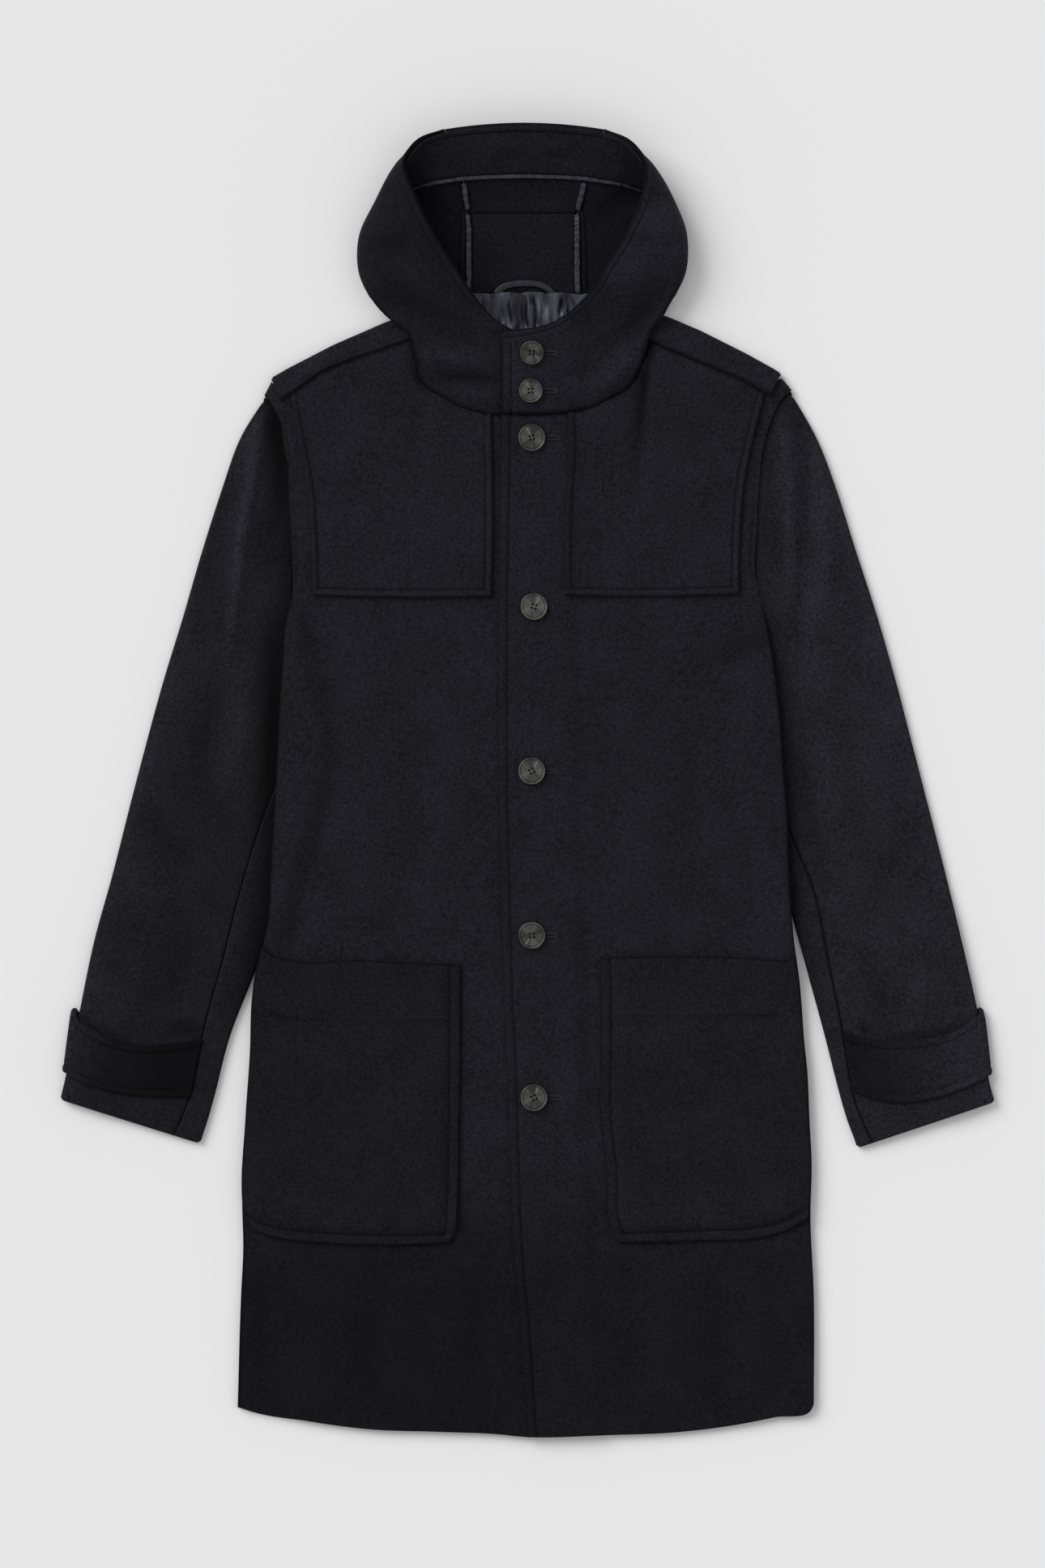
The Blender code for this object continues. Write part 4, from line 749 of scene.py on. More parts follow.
class Tube:
    """A flattened sleeve. Its sections are numbered 0 at the armhole to 12 at the cuff; a point of
    it is given by the section and its distance in from the outer edge, on the upper or lower wall."""

    def __init__(self, armhole, sections, table):
        sections = np.array(sections, dtype=float)
        self.armhole = bent_line(armhole)
        self.ends = sections[:, :6]
        share = np.linspace(0, 1, 17)
        lines = [self.armhole(share)] + [self.bow(row, share) for row in self.ends]
        self.stations = np.column_stack([
            [run_along(line)[-1] for line in lines], [ARMHOLE_SEAM_IN, *sections[:, 6]],
            [0, *sections[:, 7]], ARMHOLE_LIFT + [0.0] * (len(lines) - len(ARMHOLE_LIFT))])
        self.table = table

    def bow(self, row, share):
        """The parabola through a section's outer edge, middle and inner edge."""
        outer, middle, inner = row[0:2], row[2:4], row[4:6]
        share = np.asarray(share)[..., None]
        return (outer * (1 - share) * (1 - 2 * share) + middle * 4 * share * (1 - share)
                + inner * share * (2 * share - 1))

    def plan(self, places, share):
        """x and y at each place along (rows) and share across (rows by columns). The cuff's corners are
        quarter circles: a point near a side stands back from the hem by 1 - sqrt(1 - t^2) radii."""
        all_rows = np.array([self.armhole(share.ravel()).reshape(*share.shape, 2)]
                            + [self.bow(row, share) for row in self.ends])
        places = np.asarray(places)[:, None]
        t = (1 - np.minimum(share, 1 - share) / CORNER_SHARE).clip(0, 1)
        back = (CORNER_OUT * (1 - share) + CORNER_IN * share).clip(0) * (1 - np.sqrt(1 - t ** 2))
        along = places - back * smooth_step((places - CORNER_FROM) / (LAST_SECTION - CORNER_FROM))
        return rounded(all_rows, along, np.ogrid[:share.shape[0], :share.shape[1]])

    def wall(self, places, distance, upper, out=0.0):
        """Points of one wall, moved out of it by a distance. The walls make room for the strap over the
        outer half of the last sections, and the inner edge is lifted at the armhole."""
        width, _, puff, lift = rounded(self.stations, places).T
        share = np.clip(distance / width[:, None], 0, 1)
        xy = self.plan(places, distance / width[:, None])
        room = smooth_step(np.asarray(places) - 8)[:, None] * smooth_step((0.5 - share) / 0.22)
        z = (SLEEVE_WOOL / 2 + (STRAP_WOOL + STRAP_GAP) * room
             + lift.clip(0)[:, None] * smooth_step((share - 0.7) / 0.3))
        if not upper:
            return at_height(xy, z - out)
        z = z + 2 * FOLD_RADIUS + PUFF * puff[:, None] * np.sin(np.pi * share).clip(0) ** 0.8 + out
        from_edge = np.minimum(distance, width[:, None] - distance)
        loose = folds(xy[..., 0], xy[..., 1], self.table) + 0.9 * (swell(xy[..., 1], xy[..., 0]) - 0.4)
        loose = np.where(loose < 0, 1.9 * np.tanh(loose / 1.9), loose)
        return at_height(xy, z + smooth_step(from_edge / 10) * loose)

    def turn(self, places, outer_edge, out=0.0, slack=0.0):
        """Half round from the upper wall to the lower one at the tube's outer or inner edge."""
        width = rounded(self.stations, places)[:, 0]
        place_in = np.full((len(width), 1), TUBE_EDGE) if outer_edge else width[:, None] - TUBE_EDGE
        rim_in = np.zeros((len(width), 1)) if outer_edge else width[:, None]
        high = self.wall(places, place_in, True)
        low = self.wall(places, place_in, False)
        outward = self.plan(places, rim_in / width[:, None])[:, 0] - high[:, 0, :2]
        outward = outward / np.linalg.norm(outward, axis=1, keepdims=True)
        angle = np.radians(np.arange(15, 180, 15))[None, :]
        reach = (FOLD_RADIUS + out + np.broadcast_to(slack, len(width)))[:, None] * np.sin(angle)
        xy = high[:, :, :2] + outward[:, None] * reach[..., None]
        middle, radius = (high[..., 2] + low[..., 2]) / 2, (high[..., 2] - low[..., 2]) / 2 + out
        return at_height(xy, middle + radius * np.cos(angle))


def lined_up(start, end, shares):
    """Distances from start to end at each row, for a column at each share."""
    start, end = np.atleast_1d(start), np.atleast_1d(end)
    return start[:, None] + (end - start)[:, None] * np.asarray(shares)[None]


# The crest of the right sleeve's longest fold has a painted highlight; a pucker over the left strap's
# inner end has painted shade. Spots are given by x, y, width and height.
CREST_HIGHLIGHT = [(-240, 332), (-246.5, 280), (-257.6, 229.5), (-262, 185), (-267, 140), (-271, 88)]
PUCKERS = [(302.4, -222.5, 2.6, 5.0), (294, -226.5, 9, 1.6)]
# The sleeves are in shade above the straps' upper edges, in the same columns as the folds.
STRAP_SHADE = [
    ([(-405, -208), (-392, -223), (-378, -230), (-356, -235)], 4.5, 0.4, "both"),
    ([(-334, -224), (-312, -223), (-288, -226)], 6.0, 0.4, "both"),
    ([(296, -226), (330, -231), (358, -231), (378, -226), (395, -217), (405, -206)], 5.0, 0.45, "both"),
]


def sleeve_tone(grid, places, side_line, tube, upper_arm, forearm, beside_body):
    """Painted shade on a sleeve: one value above the elbow and one below it, more beside the body and in
    the troughs of its folds, and less, as painted highlight, on their ridges, on its crest and round the
    outer edge."""
    x, y = grid[..., 0], grid[..., 1]
    base = np.interp(places, [0, 2.5, 8, LAST_SECTION], [upper_arm, upper_arm, forearm, forearm])[:, None]
    for spot_x, spot_y, wide, high in PUCKERS:
        base = base + 0.8 * bell(x - spot_x, wide) * bell(y - spot_y, high)
    crest = folds(x, y, [(CREST_HIGHLIGHT, 2.3, 0.65, "both")])
    outer_edge = 0.2 * bell(gap_to(x, y, tube.ends[:, :2])[0], 12)
    body = beside_body * bell(gap_to(x, y, side_line)[0], 15)
    shade = folds(x, y, tube.table)
    return (base + folds(x, y, STRAP_SHADE) + body - crest - outer_edge
            - 0.045 * shade.clip(0) + 0.1 * (-shade).clip(0))


def sleeve(side, tube, places, side_line, tones):
    """The two pieces of a sleeve. The top sleeve's upper wall is stitched by the forearm seam."""
    width, seam_in = rounded(tube.stations, places)[:, :2].T
    shares = spaced(110, 2.6, start=SEWN[:8], end=(0, 2))
    top = np.concatenate([
        tube.wall(places, lined_up(width - seam_in, TUBE_EDGE, shares), True), tube.turn(places, True),
        tube.wall(places, lined_up(TUBE_EDGE, BACK_SEAM_IN, np.linspace(0, 1, 5)), False)], axis=1)
    distances = edge_distances(top)
    seam_line = -0.7 * bell(distances["left"], 2.2)
    armhole_line = sewn_edge(distances["bottom"], distances["left"], 5.0, 0.6, 0.7)
    painted_shade = sleeve_tone(top, places, side_line, tube, *tones)
    # Painted shade along the forearm seam and the armhole seam.
    painted_shade = painted_shade + 0.8 * bell(np.minimum(distances["left"], distances["bottom"] * 0.7), 1.3)
    top_piece = curved_piece(f"sleeve_top_{side}_cloth", top, SLEEVE_WOOL, sleeve_wool,
                             relief=seam_line + armhole_line, painted_shade=painted_shade)
    under = np.concatenate([
        tube.wall(places, lined_up(width - seam_in + 0.25, width - TUBE_EDGE, np.linspace(0, 1, 12)), True),
        tube.turn(places, False),
        tube.wall(places, lined_up(width - TUBE_EDGE, BACK_SEAM_IN + 0.3, np.linspace(0, 1, 18)), False)],
        axis=1)
    under_piece = curved_piece(f"sleeve_under_{side}_cloth", under, SLEEVE_WOOL, sleeve_wool,
                               painted_shade=sleeve_tone(under, places, side_line, tube, *tones))
    for piece, node in ((top_piece, "sleeve_top_" + side), (under_piece, "sleeve_under_" + side)):
        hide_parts(node)
    return top_piece, under_piece


# A paler copy of the navy melton, which the sleeves' painted shade darkens again and their painted highlights
# leave pale.
sleeve_wool = wool_material("sleeve_melton", (0.0162, 0.0157, 0.0213))
sleeve_places = np.concatenate([[0, 0.01, 0.03, 0.06, 0.1, 0.15, 0.22], np.linspace(0.3, 11.8, 116),
                                [11.86, 11.91, 11.95, 11.98, LAST_SECTION]])
tube_right = Tube(ARMHOLE_RIGHT, SLEEVE_RIGHT, SLEEVE_FOLDS_RIGHT)
tube_left = Tube(ARMHOLE_LEFT, SLEEVE_LEFT, SLEEVE_FOLDS_LEFT)
# Painted shade for each sleeve above the elbow, below it and beside the body: the right one is painted
# darker.
for side, tube, line, tones in (("right", tube_right, SIDE_RIGHT, (0.4, 0.49, 0.42)),
                                ("left", tube_left, SIDE_LEFT, (0.15, 0.28, 0.36))):
    top_piece, under_piece = sleeve(side, tube, sleeve_places, line, tones)

# ------------------------------------------------------------------ cuff straps
# A strap of melton over each cuff, from the forearm seam round the outer edge to the underside, where
# it stands a little off the fold. It is topstitched 7.5 mm in and sewn into both seams.
STRAP_INSET = 7.5
STRAP_WIDTH = 58
STRAP_LENGTH = 118
STRAP_UNDER = 22.0
STRAP_START, STRAP_END = 10.0, 11.0
# At distances from the forearm seam: how far the top and bottom edges run up the sleeve.
STRAP_SLANT = {
    "right": {"distance": (0, 20, 40, 80, 98, 116), "top": (3.3, 3.3, 2.5, 1.5, 0, -5.0),
              "bottom": (0, 0, 0, 0, 0, 0.5)},
    "left": {"distance": (0, 20, 30, 48, 75, 88, 104), "top": (8.0, 6.5, 4.8, 4.4, 1.0, -1.0, -5.0),
             "bottom": (7.5, 3.3, 2.0, 0, 0, 0, 0.5)},
}
# Painted shade, darkest at the seam and less towards the outer edge, again by distance.
STRAP_TONE = {"right": ([25, 50, 78, 92, 104, 118], [0.92, 0.82, 0.75, 0.66, 0.53, 0.3]),
              "left": ([0, 18, 36, 54, 72, 90, 104], [0.76, 0.7, 0.65, 0.53, 0.41, 0.24, 0.05])}
# How far the outer end stands off the sleeve, by share of the strap's width from its top edge.
STRAP_SHARES = [0, 0.05, 0.14, 0.3, 0.5, 0.7, 0.88, 0.95, 1]
STRAP_STAND_OFF = {"right": [3.0, 6.8, 8.4, 7.0, 4.9, 3.0, 2.3, 1.4, -0.1],
                   "left": [0.6, 3.2, 4.6, 4.2, 3.2, 2.3, 2.0, 1.0, -0.1]}


def over_cuff(tube, places, across, out):
    """Points over the upper wall from the forearm seam to the outer fold."""
    width, seam_in = rounded(tube.stations, places)[:, :2].T
    return tube.wall(places, lined_up(width - seam_in, TUBE_EDGE, across), True, out)


def strap_middle(side, tube):
    """The middle of a strap: over the cuff with its edges slanted, round the outer fold, where its tip
    and its heel are rounded off, and a short way on the underside."""
    from_top = spaced(STRAP_WIDTH, 3, start=SEWN[:11], end=SEWN[:11])
    places = STRAP_START + from_top * (STRAP_END - STRAP_START)
    across = spaced(STRAP_LENGTH, 5, start=SEWN[:11], end=(0, 3))
    out = SLEEVE_WOOL / 2 + STRAP_GAP + STRAP_WOOL / 2
    plain = over_cuff(tube, places, across, out)
    step = over_cuff(tube, places - 0.15, across, out) - plain
    slant, from_seam = STRAP_SLANT[side], edge_distances(plain)["left"]
    rise = ((1 - from_top)[:, None] * np.interp(from_seam, slant["distance"], slant["top"])
            + from_top[:, None] * np.interp(from_seam, slant["distance"], slant["bottom"]))
    tip = (1 - from_top / 0.16).clip(0) ** 1.4
    heel = (1 - (1 - from_top) / 0.12).clip(0) ** 1.6
    stand_off = np.interp(from_top, STRAP_SHARES, STRAP_STAND_OFF[side])
    front = tube.turn(places + 0.1 * tip - 0.05 * heel, True, out, stand_off)
    rear = tube.turn(places + 0.01 * tip - 0.05 * heel, True, out, stand_off)
    round_edge = smooth_step(np.linspace(0, 1.5, front.shape[1]))[None, :, None]
    return np.concatenate([
        plain + step * (rise / np.linalg.norm(step, axis=2))[..., None],
        front * (1 - round_edge) + rear * round_edge,
        tube.wall(places, lined_up(TUBE_EDGE, STRAP_UNDER, np.linspace(0, 1, 6)), False, out)], axis=1)


for side, tube in (("right", tube_right), ("left", tube_left)):
    strap = strap_middle(side, tube)
    along, from_edge = edge_distances(strap)["left"], nearest(strap, ("bottom", "top"))
    # Painted shade along the strap, and dark lines at its stitching.
    painted_shade = np.interp(along, *STRAP_TONE[side]) + 0.35 * painted_seam_shade(from_edge, STRAP_INSET)
    piece = curved_piece(f"strap_{side}_cloth", strap, STRAP_WOOL, sleeve_wool,
                         relief=sewn_edge(from_edge, along, STRAP_INSET, 0.5, 0.8), painted_shade=painted_shade)
    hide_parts("strap_" + side)

# ------------------------------------------------------------------ yoke
# The back yoke is a second piece of melton from the shoulder blades up. It turns over both shoulders
# and ends on the fronts in a shallow wing, slip-stitched down, which covers the patches' tops.
SHOULDER = [(-237, 346), (-229, 363), (-215, 371), (-174, 392), (-128, 412), (-96, 424), (-53, 437),
            (0, 439), (54, 437), (96, 424), (124, 418), (155, 405), (197, 384), (226, 368), (238, 351)]
FOLD_TURN = LAYER
FOLD_ROOM = FOLD_TURN + WOOL / 2
WING_CLEAR = 2.2


def welded_piece(name, parts, thickness, material):
    """A cloth piece made of several grids of its middle that are welded where they meet, each with its
    painted shade. Solidify thickens it to both sides, and Bevel rounds its edges."""
    points, faces, painted_shade, start = [], [], [], 0
    for grid, dark in parts:
        rows, columns = grid.shape[:2]
        faces.append(quads(start + np.arange(rows * columns).reshape(rows, columns)))
        points.append(grid.reshape(-1, 3))
        painted_shade.append(np.broadcast_to(dark, (rows, columns)).ravel())
        start += rows * columns
    piece = new_piece(name, np.concatenate(points), np.concatenate(faces).tolist(), material)
    store_painted_shade(piece, np.concatenate(painted_shade))
    mesh_work = bmesh.new()
    mesh_work.from_mesh(piece.data)
    bmesh.ops.remove_doubles(mesh_work, verts=mesh_work.verts, dist=0.05 * MM)
    bmesh.ops.delete(mesh_work, geom=[v for v in mesh_work.verts if not v.link_faces], context="VERTS")
    bmesh.ops.recalc_face_normals(mesh_work, faces=mesh_work.faces)
    mesh_work.to_mesh(piece.data)
    mesh_work.free()
    piece.data.shade_smooth()
    wall = piece.modifiers.new("cloth", "SOLIDIFY")
    wall.thickness = thickness * MM
    wall.offset = 0.0
    rounding = piece.modifiers.new("edges", "BEVEL")
    rounding.width = 0.32 * thickness * MM
    rounding.segments = 2
    rounding.limit_method = "ANGLE"
    rounding.angle_limit = math.radians(55)
    rounding.use_clamp_overlap = True
    return piece


def shoulder_wing(wing_line, start, stop, dark):
    """From the shoulder's inset line round the fold and down to the wing's edge, as one grid of rows
    across and columns along the shoulder, with painted shade along the wing's edge, a bell whose width is
    dark."""
    shares = spaced(125, 4, start=HIDDEN, end=HIDDEN)
    top = np.array(sorted(SHOULDER), dtype=float)
    x = start + (stop - start) * shares
    edge = np.stack([x, np.interp(x, *top.T)], axis=1)
    wing = smooth_line(wing_line)(shares)
    inward = (wing - edge) / np.linalg.norm(wing - edge, axis=1, keepdims=True)
    inset = edge + inward * FOLD_ROOM
    angle = np.radians(np.linspace(0, 180, 11))[:, None, None]
    turn_xy = inset[None] - inward[None] * FOLD_TURN * np.sin(angle)
    turn_z = BACK_MIDDLE + FOLD_TURN * (1 - np.cos(angle[..., 0]))
    turn = at_height(turn_xy, np.broadcast_to(turn_z, turn_xy.shape[:2]))
    down = spaced(34, 2.6, start=(0,), end=SEWN[:11])[:, None]
    over_xy = inset[None] * (1 - down[..., None]) + wing[None] * down[..., None]
    rise = WING_CLEAR * smooth_step(down / 0.6) + 0.8 * np.sin(x / 17)[None] * np.sin(np.pi * down)
    over = at_height(over_xy, BACK_MIDDLE + 2 * FOLD_TURN + rise)
    under_xy = np.stack([inset + inward * d for d in (14.0, 7.0)])
    under = at_height(under_xy, np.full((2, len(x)), BACK_MIDDLE))
    from_wing = (1 - down) * np.linalg.norm(wing - inset, axis=1)[None]
    painted_shade = np.concatenate([np.zeros((12, len(x))), bell(from_wing, dark)], axis=0)
    return np.concatenate([under, turn, over[1:]], axis=0), painted_shade


wing_grid_right = shoulder_wing(WING_EDGE_RIGHT[1:], -230, -105, 1.3)
wing_grid_left = shoulder_wing(WING_EDGE_LEFT[:-1], 108, 228, 3.0)
x = np.linspace(-213, 207, 90)
low = np.interp(x, *np.array(YOKE_SEAM, dtype=float).T) + 0.5
high = np.interp(x, *np.array(SHOULDER, dtype=float).T) - 12
share = np.linspace(0, 1, 40)[:, None]
yoke_back = np.stack([np.broadcast_to(x, (40, 90)), low * (1 - share) + high * share,
                      np.full((40, 90), BACK_MIDDLE)], axis=2)
yoke = welded_piece("yoke_cloth", [(yoke_back, 0.0), wing_grid_right, wing_grid_left], WOOL, wool)
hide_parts("yoke")

# ------------------------------------------------------------------ hood sides
# Each side of the hood is one piece of melton from the crown seam, round the face, down to the neck
# seam. In the bowl it stands up from the floor and leans out, and its rim is topstitched 7 mm in.
# Below the bowl it lies over the neck, the left one over the right one, in drag folds.
LAP_SLOPE = 0.2
LAP_STEP_X = (37, 49)
BOWL_ROWS = 57
NECK_ROWS = 93
# Distances from the rim at which the panel has its first columns, and the columns that turn under.
RIM_COLUMNS = (0, 0.6, 1.4, 2.4, 3.6, 4.8, 5.8, 6.5, 7.2, 8.0, 9.2)
TURN_COLUMNS = 9

# Sections from the crown down: the rim, the outermost bulge, where it lies down on the floor and the
# inner seam, as x y z, and how full the bulge is, from 0 for straight to 1 for a half circle.
HOOD_RIGHT = [
    (-75, 584.5, 32, -71, 571, 26, -58, 541, 13, -54, 511, 1.4, 0.0),
    (-94, 577, 36, -95, 571, 29, -82, 536, 11, -54, 504, 1.4, 0.3),
    (-106, 565, 41, -111, 560, 27, -100, 532, 5, -53, 497, 1.4, 0.7),
    (-110, 550, 45, -123, 545, 23, -112, 527, 1.7, -53, 490, 1.4, 1.0),
    (-101, 525, 49, -136, 520, 20, -122, 514, 1.7, -53, 480, 1.4, 1.0),
    (-85, 492, 49, -150, 490, 20, -136, 487, 1.7, -53, 467, 1.4, 1.0),
    (-66, 462, 43, -151, 459, 20, -137, 457, 1.7, -53, 453, 1.4, 1.0),
    (-50, 438, 33, -141, 435, 18, -124, 420, 1.7, -54, 431, 1.4, 1.0),
]
HOOD_LEFT = [
    (69, 584.5, 32, 65, 571, 26, 52, 541, 13, 45, 511, 1.4, 0.0),
    (88, 576, 36, 89, 570, 29, 77, 536, 11, 45, 504, 1.4, 0.3),
    (100, 564, 41, 106, 559, 27, 95, 532, 5, 45, 497, 1.4, 0.7),
    (106, 548, 45, 119, 543, 23, 108, 527, 1.7, 45, 490, 1.4, 1.0),
    (103, 526, 49, 131, 521, 20, 118, 514, 1.7, 45, 480, 1.4, 1.0),
    (90, 493, 49, 142, 492, 20, 129, 488, 1.7, 45, 467, 1.4, 1.0),
    (72, 463, 43, 142, 460, 20, 128, 458, 1.7, 45, 453, 1.4, 1.0),
    (57, 439, 33, 132, 436, 18, 117, 421, 1.7, 46, 431, 1.4, 1.0),
]
# Sections over the neck, as rim x, rim y, outer x and outer y.
NECK_SECTIONS_RIGHT = [(-34, 419, -127, 417), (-24, 411, -110, 404), (-17, 407, -104, 389),
                       (-9, 402, -100, 373), (-2, 398, -96.4, 360.6), (5, 393.5, -86, 350.6),
                       (11, 389.5, -66, 338.8), (16, 385, -52, 333.8), (21, 380.5, -33, 329.8),
                       (25, 375, -13, 329.8), (28, 369, 4, 329.8), (30, 360, 20, 330.6), (32, 350, 33, 331.0)]
NECK_SECTIONS_LEFT = [(38, 421, 123, 419), (31, 416, 113, 406), (24, 412, 109, 395), (19, 410, 104, 379),
                      (14, 408.5, 97.4, 364.6), (8, 407, 89, 352.6), (3, 406.3, 73, 343.6),
                      (-2, 405.8, 61, 337.0), (-7, 405.4, 47, 333.8), (-12, 405, 30, 331.0),
                      (-17, 404.6, 8, 329.9), (-20, 404.3, -8, 329.9), (-23, 404, -23, 330.2)]
HOOD_FOLDS_RIGHT = [
    ([(-132, 446), (-112, 432), (-90, 421), (-62, 409), (-40, 397)], 9, -3.2, "both"),
    ([(-118, 468), (-100, 453), (-80, 437), (-60, 421), (-46, 410)], 7, 2.4, "both"),
    ([(-98, 388), (-81, 382), (-60, 378), (-38, 371), (-20, 362)], 8, 5.0, "both"),
    ([(-84, 363), (-62, 361.5), (-38, 361), (-20, 356)], 6, -4.8, "both"),
    ([(-66, 346), (-45, 344), (-20, 343)], 8, 2.4, "both"),
    ([(-100, 404), (-84, 402), (-66, 398)], 7, -1.6, "both"),
    ([(-97, 384), (-96, 376), (-94, 368)], 2.6, -2.4, "both"),
    ([(-92, 392), (-90, 380), (-86, 366)], 4, 2.0, "both"),
    ([(-150, 500), (-132, 497), (-104, 500)], 12, 2.4, "both"),
    ([(-140, 482), (-122, 480), (-98, 486)], 9, -1.8, "both"),
    ([(-136, 540), (-122, 530), (-106, 528)], 8, -1.6, "both"),
]
HOOD_FOLDS_LEFT = [
    ([(126, 416), (110, 393), (92, 372), (74, 358), (52, 348), (32, 342)], 11, 3.4, "both"),
    ([(144, 460), (124, 438), (106, 418), (84, 402), (62, 394), (38, 388)], 14, -4.8, "both"),
    ([(38, 418), (56, 412), (74, 402)], 9, -2.4, "both"),
    ([(134, 500), (112, 474), (92, 452), (74, 434)], 9, 1.6, "both"),
    ([(104, 434), (77, 407), (46, 388), (26, 370)], 4, 1.0, "both"),
    ([(88, 395), (70, 380), (55, 370), (38, 359)], 4.5, -1.2, "both"),
    ([(116, 404), (104, 386), (96, 368)], 3.5, -1.6, "both"),
    ([(140, 500), (124, 498), (102, 506)], 12, 2.3, "both"),
    ([(136, 482), (120, 480), (98, 490)], 9, -1.8, "both"),
    ([(128, 532), (118, 525), (106, 520)], 8, -1.6, "both"),
]
RIM_STITCH = 7.0
FRONT_STITCH = 8.4


def above_neck(x, y):
    """How far a point lies above the neck seam."""
    return y - np.interp(np.clip(x, -97, 98), *np.array(NECK_SEAM, dtype=float).T)


def neck_height(x, y):
    """Height of the hood's lower part: it rolls up out of the neck seam and climbs towards the rim."""
    gap, _ = gap_to(x, y, NECK_SEAM)
    roll = 3.8 * rolled(gap, 7.0) * np.exp(-gap / 60)
    return FRONT_MIDDLE + 1.6 + roll + LAP_SLOPE * np.maximum(above_neck(x, y), 0)


def lap_over(x, y):
    """Extra height of the hood's left side, where it lies over the right one."""
    share = smooth_step((LAP_STEP_X[1] + 8 - x) / (LAP_STEP_X[1] - LAP_STEP_X[0] + 8))
    return share * (LAYER + 0.6 * np.clip(above_neck(x, y) / 15, 0, 1))


def turned_under(edge, sections):
    """What turns under a side's bulge. From its edge it goes down to the floor, on a quarter circle where
    the bulge is full and straight where it isn't, then in to the crown's seam, over whose allowance it
    rises. With it comes its painted shade inside the bowl: a dark line beside the allowance and a lighter one
    on it."""
    foot, seam, full = sections[:, 6:9], sections[:, 9:12], sections[:, 12:].clip(0, 1)
    turn = np.radians(np.linspace(10, 90, TURN_COLUMNS))[None]
    straight = (1 - full) * turn / (math.pi / 2)
    across, down = full * (1 - np.cos(turn)) + straight, full * np.sin(turn) + straight
    turn_xy = edge[:, None, :2] + (foot[:, None, :2] - edge[:, None, :2]) * across[..., None]
    turn_z = edge[:, 2:] + (foot[:, 2:] - edge[:, 2:]) * down
    flat = np.concatenate([np.linspace(0, 0.8, 10)[1:], np.linspace(0.8, 1, 13)[1:]])[None]
    flat_points = foot[:, None] + (seam[:, None] - foot[:, None]) * flat[..., None]
    under = np.concatenate([edge[:, None], at_height(turn_xy, turn_z), flat_points], axis=1)
    from_seam = edge_distances(under)["right"]
    under[..., 2] += 0.9 * (1 - smooth_step((from_seam - 6.5) / 1.5))
    return under, 0.66 + 0.3 * bell(from_seam - 8.2, 1.2) - 0.2 * bell(from_seam - 5.5, 1.2)


def hood_side(bowl_table, neck_table, fold_table, laps_over):
    """The middle of a side panel: a grid for what lies between the rim and the bulge, from the crown
    to the front edge, and a grid for what turns under it, for the bowl only, each with its painted
    shade. The first columns keep their distances from the rim, where its topstitching runs."""
    bowl = np.array(bowl_table, dtype=float)
    places = np.linspace(0, len(bowl) - 1, BOWL_ROWS)
    sections = rounded(bowl, places)
    joined = np.concatenate([bowl[:, [0, 1, 3, 4]], np.array(neck_table, dtype=float)])
    places = np.concatenate([places, np.linspace(len(bowl) - 1, len(joined) - 1, NECK_ROWS)[1:]])
    in_neck = np.arange(len(places))[:, None] >= BOWL_ROWS
    ends = rounded(joined, places)
    length = np.linalg.norm(ends[:, 2:] - ends[:, :2], axis=1).clip(12)[:, None]
    near = np.array(RIM_COLUMNS)[None] / length
    beyond = near[:, -1:] + (1 - near[:, -1:]) * np.linspace(0, 1, 19)[None, 1:]
    shares = np.concatenate([near, beyond], axis=1)
    reach = shares * length
    xy = ends[:, None, :2] + (ends[:, None, 2:] - ends[:, None, :2]) * shares[..., None]
    x, y = xy[..., 0], xy[..., 1]

    # The bowl's height falls from the rim to the bulge, and its last rows are bridged to the neck's.
    rim_z, bulge_z, full = sections[:, 2:3], sections[:, 5:6], sections[:, 12:].clip(0, 1)
    bowl_z = bulge_z + (rim_z - bulge_z) * (1 - shares[:BOWL_ROWS]) ** (1 - 0.5 * full)
    neck_z = neck_height(x, y) + (lap_over(x, y) if laps_over else 0)
    z = np.concatenate([bowl_z, neck_z[BOWL_ROWS:]])
    start, stop = BOWL_ROWS - 9, BOWL_ROWS + 7
    bridge = smooth_step(np.linspace(0, 1, stop - start + 1))[:, None]
    z[start:stop + 1] = z[start] * (1 - bridge) + z[stop] * bridge

    shade = folds(x, y, fold_table)
    crease = 1.25 * shade + 0.5 * (swell(y * 1.6, x * 1.6) - 0.5)
    z = z + crease * smooth_step(reach / 12) * smooth_step((length - reach) / 12)
    upper = at_height(xy, z)
    stitched = sewn_edge(reach, places[:, None] * 25, RIM_STITCH, 0.5, 1.0)
    clear_of_rim = smooth_step((reach - 9) / 4)
    if laps_over:
        from_front = np.where(in_neck, x + 23, 90.0).clip(0)
        stitched = stitched + sewn_edge(from_front, y, FRONT_STITCH, 0.5, 0.9) * clear_of_rim
    upper = upper + surface_normals(upper) * (stitched * smooth_step(places / 1.5)[:, None])[..., None]

    distances = edge_distances(upper)
    # Painted shade: the right side darker than the left, dark lines at the rim's stitching and the neck seam,
    # more in the folds' troughs and less on their ridges, and on the left side dark lines at the front's
    # stitching and a dark spot where it meets the front opening.
    bowl_tone, neck_tone = (0.12, 0.28) if laps_over else (0.62, 0.46)
    tone = bowl_tone + (neck_tone - bowl_tone) * smooth_step((places[:, None] - 5) / 3)
    painted_shade = (painted_seam_shade(distances["left"], RIM_STITCH) + tone - 0.045 * shade
               + in_neck * 0.95 * bell(distances["right"], 1.6))
    if laps_over:
        painted_shade = painted_shade + painted_seam_shade(distances["top"], FRONT_STITCH) * clear_of_rim
        painted_shade = painted_shade + bell(upper[..., 0] + 2.5, 5.5) * bell(upper[..., 1] - 329.5, 1.6)
    under, under_painted_shade = turned_under(upper[:BOWL_ROWS, -1], sections)
    return upper, under, painted_shade, under_painted_shade


